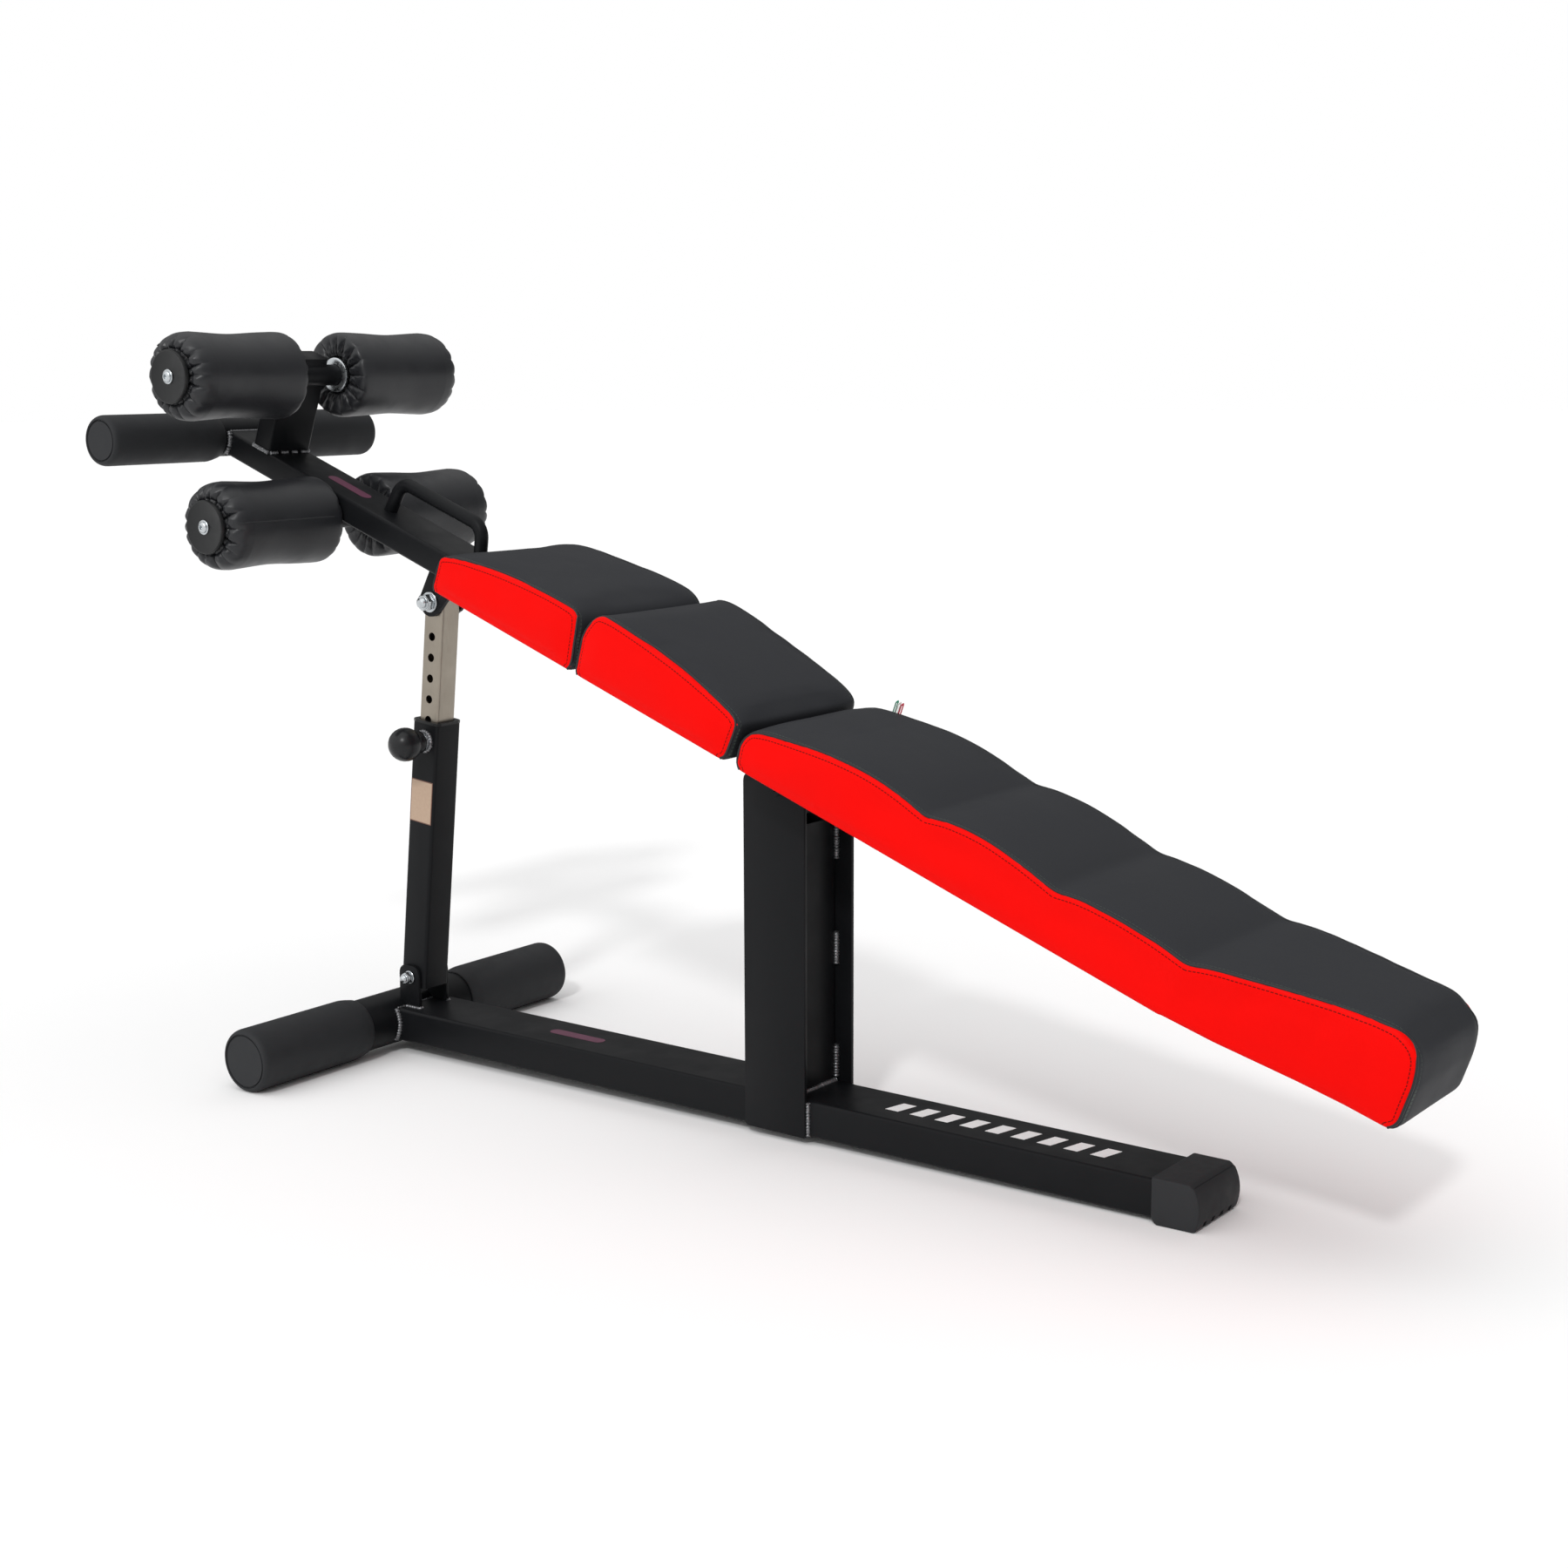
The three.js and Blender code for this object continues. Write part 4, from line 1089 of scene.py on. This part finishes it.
def build_roller_trim(name, centre, span, sign):
    """A roller's end disc, its button-head screw, and the cupped washer at its inner end."""
    radius, low = DISC["radius"], span[1] + DISC["gap"]
    high = low + DISC["thick"]
    plate = [(4.4, low), (radius - 0.6, low), (radius, low + 0.6), (radius, high - 1.4)]
    plate += [(radius - 0.5, high - 0.4), (radius - 1.6, high), (radius - 2.6, high - 0.5), (4.4, high - 0.5)]
    disc = turned(f"end_disc_{name}", [(r, y * sign) for r, y in plate], 64, centre)
    settle(disc, BENCH, "bench", "black_plastic", FINISH["plastic"], f"roller_disc_{name}")

    dome = [(0, high - 3), (6.6, high - 3), (6.6, high + 1.4)]
    dome += [(6.6 * x, high + 1.4 + 3.2 * y) for x, y in arc((0, 0), 1, 10, 68, 6)]
    dome += [(2.3, high + 2), (0, high + 2)]
    screw = turned("screw", [(r, y * sign) for r, y in dome], 32, centre)
    ring = washer("washer", 8.4, sign * (high - 0.3), sign * (high + 1), centre)
    screw = join(f"end_screw_{name}", [screw, ring])
    settle(screw, BENCH, "bench", "zinc_steel", FINISH["zinc"], f"roller_screw_{name}")

    far = span[0] - DISC["gap"]
    near = far - 3.2
    cup = [(13.2, near), (19.5, near), (20.8, near + 0.8), (21, far), (16.8, far), (16.2, near + 1.6)]
    cup += [(13.2, near + 1.6)]
    ring = turned(f"inner_washer_{name}", [(r, y * sign) for r, y in cup], 48, centre)
    settle(ring, BENCH, "bench", "zinc_steel", FINISH["zinc"], f"roller_washer_{name}")


def build_rollers():
    """Four foam rollers with gathered ends, their end discs, screws and inner washers."""
    sizes = bpy.context.scene.bench_sizes
    seams = {"upper_left": 150, "upper_right": 215, "lower_left": 27, "lower_right": 190}
    for level, centre in AXLES.items():
        for side, sign in SIDES:
            name = f"{level}_{side}"
            build_pad(name, f"roller_{name}", centre, ROLLER[side], sign, seams[name], sizes)
            build_roller_trim(name, centre, ROLLER[side], sign)


# ---------------------------------------------------------------- cushions
# Each side outline runs up the foot end, along the top and down the head end, in BENCH
# axes. A valley is where the back cushion's top dips between two swells.
def seat_upper_top():
    return spline([(186, 25), (192, 31), (222, 40), (282, 49), (346, 54), (384, 53.5), (397, 48)])


def seat_lower_top():
    return spline([(406.5, 32), (417, 57), (436, 64), (480, 62), (541, 55), (598, 44.5), (622, 38)])


def back_top():
    swells = spline([(637, 14), (651, 34), (703, 46), (760, 54), (810, 54.5), (868, 47)])
    swells += spline([(868, 47), (893, 53), (930, 56), (970, 53.5), (1022, 46)])[1:]
    swells += spline([(1022, 46), (1050, 51), (1090, 53), (1130, 51.5), (1168, 48)])[1:]
    head = [(1168, 48), (1200, 57), (1270, 69), (1340, 78), (1366, 76), (1384, 62), (1391, 36)]
    return swells + spline(head)[1:]


CUSHIONS = {
    "seat_upper": {
        "top": seat_upper_top, "foot": [(191, -14), (187.5, -10)],
        "head": [(401.5, 36), (408.5, -8), (404, -14)], "valleys": (),
    },
    "seat_lower": {
        "top": seat_lower_top, "foot": [(414, -14), (411, -10)],
        "head": [(632, 30), (630.5, -9), (624, -14)], "valleys": (),
    },
    "back": {
        "top": back_top, "foot": [(647, -14), (640, -9)],
        "head": [(1392, -4), (1384, -12)], "valleys": (868, 1022, 1168),
    },
}


def plan_half(x, name):
    """Half the cushion's width at a place along it; the back narrows towards the head."""
    if name != "back":
        return CUSHION["half"] * np.ones_like(x)
    stations = (0, 1165, 1215, 1255, 1296, 1340, 1400)
    widths = (109, 109, 103, 94, 85, 78, 74)
    return np.interp(x, stations, widths)


def panel_outline(shape):
    """Outline of the red side panel: the cushion's own, drawn in by the roll of its edge."""
    roll = CUSHION["roll"]
    ring = [*shape["foot"], *shape["top"](), *shape["head"]]
    inside = []
    for a, b, c in zip([ring[0], *ring], ring, [*ring[1:], ring[-1]]):
        run = Vector((c[0] - a[0], c[1] - a[1])).normalized()
        inside.append((b[0] + run.y * roll, b[1] - run.x * roll))
    below = CUSHION["skirt"] - 20
    return [(inside[0][0], below), *inside, (inside[-1][0], below)]


def seam_fields(points, outline):
    """For [x, z] points: the distance inside the outline, and the place along it, in mm."""
    ring = np.array(outline + outline[:1], float)
    a, b = ring[:-1], ring[1:]
    edge = b - a
    length = np.linalg.norm(edge, axis=1)
    before = np.concatenate(([0], np.cumsum(length)[:-1]))
    depth = np.empty(len(points))
    along = np.empty(len(points))
    for i in range(0, len(points), 4000):
        p = points[i : i + 4000, None, :]
        t = np.clip(((p - a) * edge).sum(2) / np.maximum(length ** 2, 1e-9), 0, 1)
        near = a + t[..., None] * edge
        gap = np.linalg.norm(p - near, axis=2)
        best = gap.argmin(1)
        rows = np.arange(len(best))
        crossing = (a[:, 1] > p[..., 1]) != (b[:, 1] > p[..., 1])
        rise = np.where(np.abs(edge[:, 1]) < 1e-9, 1e-9, edge[:, 1])
        at = a[:, 0] + (p[..., 1] - a[:, 1]) * edge[:, 0] / rise
        inside = (crossing & (p[..., 0] < at)).sum(1) % 2 == 1
        depth[i : i + 4000] = np.where(inside, gap[rows, best], -gap[rows, best])
        along[i : i + 4000] = before[best] + t[rows, best] * length[best]
    return depth, along


def coordinates(obj):
    """The vertices' places in millimetres."""
    co = np.empty(len(obj.data.vertices) * 3)
    obj.data.vertices.foreach_get("co", co)
    return co.reshape(-1, 3) / MM


def place_vertices(obj, co):
    """Moves the vertices to these places in millimetres."""
    obj.data.vertices.foreach_set("co", (co * MM).ravel())
    obj.data.update()


def cover_depth(co, name, outline):
    """Signed distance from the sewn edge: into the side panel, or back over the top."""
    depth, along = seam_fields(co[:, [0, 2]], outline)
    side = plan_half(co[:, 0], name) - 9
    return depth - np.maximum(0, side - np.abs(co[:, 1])), along


def evened(obj, offsets, rounds):
    """The same offsets with each vertex's share drawn to its neighbours'."""
    edges = np.empty(len(obj.data.edges) * 2, np.int64)
    obj.data.edges.foreach_get("vertices", edges)
    a, b = edges.reshape(-1, 2).T
    count = np.bincount(edges, minlength=len(offsets))[:, None]
    for _ in range(rounds):
        total = np.zeros_like(offsets)
        np.add.at(total, a, offsets[b])
        np.add.at(total, b, offsets[a])
        offsets = 0.4 * offsets + 0.6 * total / np.maximum(count, 1)
    return offsets


def fill_ends(co, name):
    """The foam stands fuller in the middle of an end than at its two side seams."""
    middle = 1 - np.clip(np.abs(co[:, 1]) / CUSHION["half"], 0, 1) ** 4
    upper = np.clip(co[:, 2] / 20, 0, 1)
    if name == "back":
        near = np.clip((720 - co[:, 0]) / 75, 0, 1)
        co[:, 2] += 5.0 * middle * upper * near
    if name == "seat_upper":
        co[:, 0] += 2.2 * middle * upper * np.clip((co[:, 0] - 380) / 20, 0, 1)
    if name == "seat_lower":
        co[:, 0] -= 1.5 * middle * upper * np.clip((430 - co[:, 0]) / 20, 0, 1)
        co[:, 0] += 2.5 * middle * upper * np.clip((co[:, 0] - 610) / 20, 0, 1)
    return co


def swell(obj, name, outline, sizes):
    """Lets the cover swell under pressure, held underneath and drawn in at its seams."""
    rest = coordinates(obj)
    shape = CUSHIONS[name]
    normals = np.array([tuple(v.normal) for v in obj.data.vertices])
    held = [i for i in range(len(rest)) if rest[i, 2] < -6 or (normals[i, 2] < -0.5 and rest[i, 2] < 12)]
    group = obj.vertex_groups.new(name="held")
    group.add(held, 1.0, "REPLACE")
    cloth = obj.modifiers.new("Cover", "CLOTH")
    settings = cloth.settings
    settings.quality = 5
    settings.tension_stiffness = settings.compression_stiffness = 12
    settings.use_pressure = True
    settings.uniform_pressure_force = 4.0
    settings.vertex_group_mass = "held"
    settings.effector_weights.gravity = 0
    cloth.collision_settings.use_collision = False
    cloth.point_cache.frame_start, cloth.point_cache.frame_end = 1, SWELL["frames"]
    for step in range(1, SWELL["frames"] + 1):
        bpy.context.scene.frame_set(step)
    only(obj)
    bpy.ops.object.modifier_apply(modifier=cloth.name)
    bpy.context.scene.frame_set(1)
    moved = coordinates(obj)
    limit = np.full(len(rest), sizes.puff / MM)
    depth, _ = cover_depth(rest, name, outline)
    limit *= 0.45 + 0.55 * np.clip(np.abs(depth) / SWELL["seam"], 0, 1) ** 1.5
    for valley in shape["valleys"]:
        limit *= 0.25 + 0.75 * np.clip(np.abs(rest[:, 0] - valley) / SWELL["valley"], 0, 1)
    limit *= 1 - 0.8 * np.clip((np.abs(normals[:, 0]) - 0.5) / 0.4, 0, 1)
    limit[held] = 0
    step = moved - rest
    size = np.linalg.norm(step, axis=1)
    scale = np.minimum(1, limit / np.maximum(size, 1e-6))
    offsets = evened(obj, step * scale[:, None], SWELL["rounds"])
    groove = SWELL["groove"] * np.exp(-((depth / SWELL["groove_width"]) ** 2))
    offsets -= normals * groove[:, None]
    offsets[held] = 0
    place_vertices(obj, rest + offsets)


def build_cushion(name, sizes):
    """One cushion: a foam block cut to its outline, its cover swollen, sewn and piped."""
    shape = CUSHIONS[name]
    lower = CUSHION["foam_below"]
    top = [(x, z - lower) for x, z in shape["top"]()]
    outline = shape["foot"] + top + shape["head"]
    half = CUSHION["half"] - lower
    cover = plate_cut(f"{name}_cover", outline, -half, half)
    x = [p[0] for p in outline]
    slack = CUSHION["channel"]
    channel_end = min(max(x) + 20, BEAM["end"] + 4)
    channel = box("channel", (min(x) - 20, channel_end), (-slack, slack), (-60, 0.15))
    cut(cover, channel)
    modify(cover, "REMESH", mode="VOXEL", voxel_size=sizes.voxel, adaptivity=0)
    modify(cover, "SMOOTH", factor=0.5, iterations=2)
    co = coordinates(cover)
    co[:, 1] *= (plan_half(co[:, 0], name) - lower) / half
    place_vertices(cover, fill_ends(co, name))
    panel = panel_outline(shape)
    swell(cover, name, panel, sizes)
    modify(cover, "SUBSURF", levels=1, render_levels=1)

    co = coordinates(cover)
    depth, along = cover_depth(co, name, panel)
    for key, values in (("seam_depth", depth), ("seam_along", along)):
        field = cover.data.attributes.new(key, "FLOAT", "POINT")
        field.data.foreach_set("value", (values * MM).astype(np.float32))

    tree = BVHTree.FromObject(cover, bpy.context.evaluated_depsgraph_get())
    line = resample([Vector((x, 0, z)) for x, z in panel if z > CUSHION["skirt"] - 4], 4)
    welts = []
    for sign in (-1, 1):
        path = []
        for point in line:
            place, *_ = tree.ray_cast(Vector((point.x, sign * 200, point.z)) * MM, Vector((0, -sign, 0)))
            if place is not None and abs(place.y) > 0.05:
                path.append(place)
        if len(path) < 10:
            raise RuntimeError(f"the welt of {name} doesn't lie on its cover")
        welts.append(tube_along("welt", smooth_path(path), sizes.welt, sides=10))
    settle(cover, BENCH, "bench", "red_leather", FINISH["cushion"], f"{name}_cushion", smooth=80)
    piping = join(f"{name}_welts", welts)
    settle(piping, BENCH, "bench", "black_leather", FINISH["welt"], smooth=80)


def smooth_path(path):
    """Evens out the mesh's facets along a path."""
    points = [p.copy() for p in path]
    for _ in range(3):
        points = [points[0]] + [
            (a + 2 * b + c) / 4 for a, b, c in zip(points, points[1:], points[2:])
        ] + [points[-1]]
    return points


def build_tab():
    """A folded ribbon of three colours sewn into the far edge of the back cushion."""
    x, y, z = 684, 107, 43
    for i, finish in enumerate(("green", "cream", "cherry")):
        left = x - 5.4 + i * 3.6
        loop = [(0, -6), (0.9, -6), (0.9, 7), (2.6, 9), (2.6, -4), (3.6, -4), (3.6, 10), (2.4, 11.4), (0, 8)]
        strip = plate_cut("ribbon", [(left + a * 0.9, z + b) for a, b in loop], y - 4, y - 2)
        strip.name = strip.data.name = f"ribbon_{finish}"
        settle(soften(strip, 0.3, 1), BENCH, "bench", "red_leather", FINISH[finish])


# ---------------------------------------------------------------- stickers
def stadium(x0, x1, half):
    """A long oval along X, as [x, y] points."""
    return arc((x1 - half, 0), half, -90, 90, 12) + arc((x0 + half, 0), half, 90, 270, 12)


def flat_decal(name, outline, place):
    """A 0.2 mm sheet from a 2-D outline; place turns [u, v, thickness] into [x, y, z]."""
    obj = plate_cut(name, outline, 0, 0.2)
    for vertex in obj.data.vertices:
        u, thick, v = vertex.co / MM
        vertex.co = Vector(place(u, v, thick)) * MM
    return close_up(obj)


def build_stickers():
    """Plain stickers: two plum ovals, a blank tan label and a row of slanted bars."""
    on_beam = flat_decal("bench_oval", stadium(-105, -35, 7.5), lambda u, v, t: (u, v, t))
    settle(on_beam, BENCH, "bench", "red_leather", FINISH["oval"])
    on_base = flat_decal("base_oval", stadium(242, 322, 7.5), lambda u, v, t: (u, v, BASE_TOP + t))
    settle(on_base, BASE, "base", "red_leather", FINISH["oval"])
    for name, grow, lift, finish in (("label_edge", 0, 0, "border"), ("label_field", 1.2, 0.1, "label")):
        x, low, high = 17.5 - grow, 193 + grow, 245 - grow
        corners = [(-x, low), (x, low), (x, high), (-x, high)]
        sheet = flat_decal(name, corners, lambda u, v, t: (u, -20 - lift - t, v))
        settle(sheet, STRUT, "strut_outer", "black_paint", FINISH[finish])
    bars = []
    count, first, last = 9, 722, 996
    pitch = (last - first) / count
    for i in range(count):
        x = first + i * pitch
        shape = [(x, -13), (x + pitch * 0.52, -13), (x + pitch * 0.52 + 6, 13), (x + 6, 13)]
        bars.append(flat_decal("bar", shape, lambda u, v, t: (u, v, BASE_TOP + t)))
    settle(join("beam_bars", bars), BASE, "base", "black_paint", FINISH["white"])


# ---------------------------------------------------------------- stage
CAMERA = {
    "place": (1.53675, -1.97083, 0.80727), "azimuth": 36.706, "pitch": 9.911, "roll": -0.702,
    "lens": 54.03, "sensor": 36.0,
}


def studio_world():
    """A backdrop seen white, whose light comes from a big soft ceiling and a soft front."""
    world = bpy.data.worlds.new("Studio")
    world.use_nodes = True
    tree = world.node_tree
    way = add_node(tree, "ShaderNodeTexCoord").outputs["Generated"]
    height = add_node(tree, "ShaderNodeSeparateXYZ", None, {0: way}).outputs["Z"]
    front = add_node(
        tree, "ShaderNodeVectorMath", {"operation": "DOT_PRODUCT"}, {0: way, 1: (-0.37, -0.93, 0.0)}
    ).outputs["Value"]
    front = math_node(tree, "MULTIPLY", math_node(tree, "MAXIMUM", front, 0.0), 1.0)
    ceiling = math_node(tree, "POWER", math_node(tree, "MAXIMUM", height, 0.0), 2.0)
    ceiling = math_node(tree, "MULTIPLY", ceiling, 1.12)
    glow = math_node(tree, "ADD", math_node(tree, "ADD", front, ceiling), 0.15)
    seen = add_node(tree, "ShaderNodeLightPath").outputs["Is Camera Ray"]
    strength = add_node(tree, "ShaderNodeMix", {"data_type": "FLOAT"}, {0: seen, 2: glow, 3: 1.0}).outputs[0]
    tree.links.new(strength, tree.nodes["Background"].inputs["Strength"])
    tree.nodes["Background"].inputs["Color"].default_value = (1, 1, 1, 1)
    return world


def build_stage():
    """White floor, soft studio light with one key lamp, and the camera."""
    scene = bpy.context.scene
    floor = start("studio_floor", "plane", size=80)
    material = new_finish("Studio paper", (0.95, 0.95, 0.95), 0.9, Specular_IOR_Level=0.0)[0]
    floor.data.materials.append(material)
    scene.world = studio_world()

    light = bpy.data.lights.new("key", "SUN")
    light.energy = 0.85
    light.angle = math.radians(6)
    lamp = bpy.data.objects.new("key", light)
    lamp.rotation_euler = Vector((0.45, -1.1, 1.0)).to_track_quat("Z", "Y").to_euler()
    scene.collection.objects.link(lamp)

    data = bpy.data.cameras.new("Camera")
    data.lens, data.sensor_width, data.sensor_fit = CAMERA["lens"], CAMERA["sensor"], "HORIZONTAL"
    data.clip_end = 60
    camera = bpy.data.objects.new("Camera", data)
    turn = (
        Matrix.Rotation(math.radians(CAMERA["azimuth"]), 4, "Z")
        @ Matrix.Rotation(math.radians(90 - CAMERA["pitch"]), 4, "X")
        @ Matrix.Rotation(math.radians(CAMERA["roll"]), 4, "Z")
    )
    camera.matrix_world = Matrix.Translation(CAMERA["place"]) @ turn
    scene.collection.objects.link(camera)
    scene.camera = camera
    scene.view_settings.view_transform = "Standard"


# ---------------------------------------------------------------- operators
class BENCH_OT_finishes(bpy.types.Operator):
    """Make the materials and paint the CAD nodes that stay"""

    bl_idname = "bench.finishes"
    bl_label = "Finishes"

    def execute(self, context):
        make_finishes()
        paint_cad_nodes()
        return {"FINISHED"}


class BENCH_OT_base_frame(bpy.types.Operator):
    """Model the foot tube, base beam, post and strut ears"""

    bl_idname = "bench.base_frame"
    bl_label = "Base frame"

    def execute(self, context):
        build_base_frame()
        return {"FINISHED"}


class BENCH_OT_sleeves(bpy.types.Operator):
    """Model the foam grips on the foot tube and the crossbar"""

    bl_idname = "bench.sleeves"
    bl_label = "Grips"

    def execute(self, context):
        build_sleeves()
        return {"FINISHED"}


class BENCH_OT_boot(bpy.types.Operator):
    """Model the ribbed rubber boot"""

    bl_idname = "bench.boot"
    bl_label = "Rear boot"

    def execute(self, context):
        build_boot()
        return {"FINISHED"}


class BENCH_OT_bench_frame(bpy.types.Operator):
    """Model the bench beam, crossbar, roller post and axles"""

    bl_idname = "bench.bench_frame"
    bl_label = "Bench frame"

    def execute(self, context):
        build_bench_frame()
        return {"FINISHED"}


class BENCH_OT_handle(bpy.types.Operator):
    """Bend the hand hold from a round bar"""

    bl_idname = "bench.handle"
    bl_label = "Handle"

    def execute(self, context):
        build_handle()
        return {"FINISHED"}


class BENCH_OT_strut(bpy.types.Operator):
    """Model the strut's tubes and its ball knob"""

    bl_idname = "bench.strut"
    bl_label = "Strut"

    def execute(self, context):
        build_strut()
        return {"FINISHED"}


class BENCH_OT_fasteners(bpy.types.Operator):
    """Model the bolts, nuts, washers and board screws"""

    bl_idname = "bench.fasteners"
    bl_label = "Fasteners"

    def execute(self, context):
        build_fasteners()
        return {"FINISHED"}


class BENCH_OT_welds(bpy.types.Operator):
    """Lay the weld beads"""

    bl_idname = "bench.welds"
    bl_label = "Welds"

    def execute(self, context):
        build_welds()
        return {"FINISHED"}


class BENCH_OT_rollers(bpy.types.Operator):
    """Model the four foot rollers and their end fittings"""

    bl_idname = "bench.rollers"
    bl_label = "Foot rollers"

    def execute(self, context):
        build_rollers()
        return {"FINISHED"}


class BENCH_OT_cushions(bpy.types.Operator):
    """Swell, sew and pipe the three cushions"""

    bl_idname = "bench.cushions"
    bl_label = "Cushions"

    def execute(self, context):
        for name in CUSHIONS:
            build_cushion(name, context.scene.bench_sizes)
        build_tab()
        return {"FINISHED"}


class BENCH_OT_stickers(bpy.types.Operator):
    """Lay the plain stickers"""

    bl_idname = "bench.stickers"
    bl_label = "Stickers"

    def execute(self, context):
        build_stickers()
        return {"FINISHED"}


class BENCH_OT_stage(bpy.types.Operator):
    """Set the floor, lights and camera"""

    bl_idname = "bench.stage"
    bl_label = "Stage"

    def execute(self, context):
        build_stage()
        return {"FINISHED"}


OPERATORS = (
    BENCH_OT_finishes,
    BENCH_OT_base_frame,
    BENCH_OT_sleeves,
    BENCH_OT_boot,
    BENCH_OT_bench_frame,
    BENCH_OT_handle,
    BENCH_OT_strut,
    BENCH_OT_fasteners,
    BENCH_OT_welds,
    BENCH_OT_rollers,
    BENCH_OT_cushions,
    BENCH_OT_stickers,
    BENCH_OT_stage,
)


class BENCH_PT_sidebar(bpy.types.Panel):
    """The bench's sizes, colours and steps"""

    bl_idname = "BENCH_PT_sidebar"
    bl_label = "Sit-up bench"
    bl_space_type = "VIEW_3D"
    bl_region_type = "UI"
    bl_category = "Bench"

    def draw(self, context):
        for group in (context.scene.bench_sizes, context.scene.bench_colours):
            box_layout = self.layout.box()
            for key in group.__annotations__:
                box_layout.prop(group, key)
        for operator in OPERATORS:
            self.layout.operator(operator.bl_idname)


CLASSES = (BenchSizes, BenchColours, *OPERATORS, BENCH_PT_sidebar)


def register():
    for cls in CLASSES:
        bpy.utils.register_class(cls)
    bpy.types.Scene.bench_sizes = PointerProperty(type=BenchSizes)
    bpy.types.Scene.bench_colours = PointerProperty(type=BenchColours)


def unregister():
    del bpy.types.Scene.bench_sizes
    del bpy.types.Scene.bench_colours
    for cls in reversed(CLASSES):
        bpy.utils.unregister_class(cls)


def main():
    register()
    for operator in OPERATORS:
        group, name = operator.bl_idname.split(".")
        getattr(getattr(bpy.ops, group), name)()


if __name__ == "__main__":
    main()
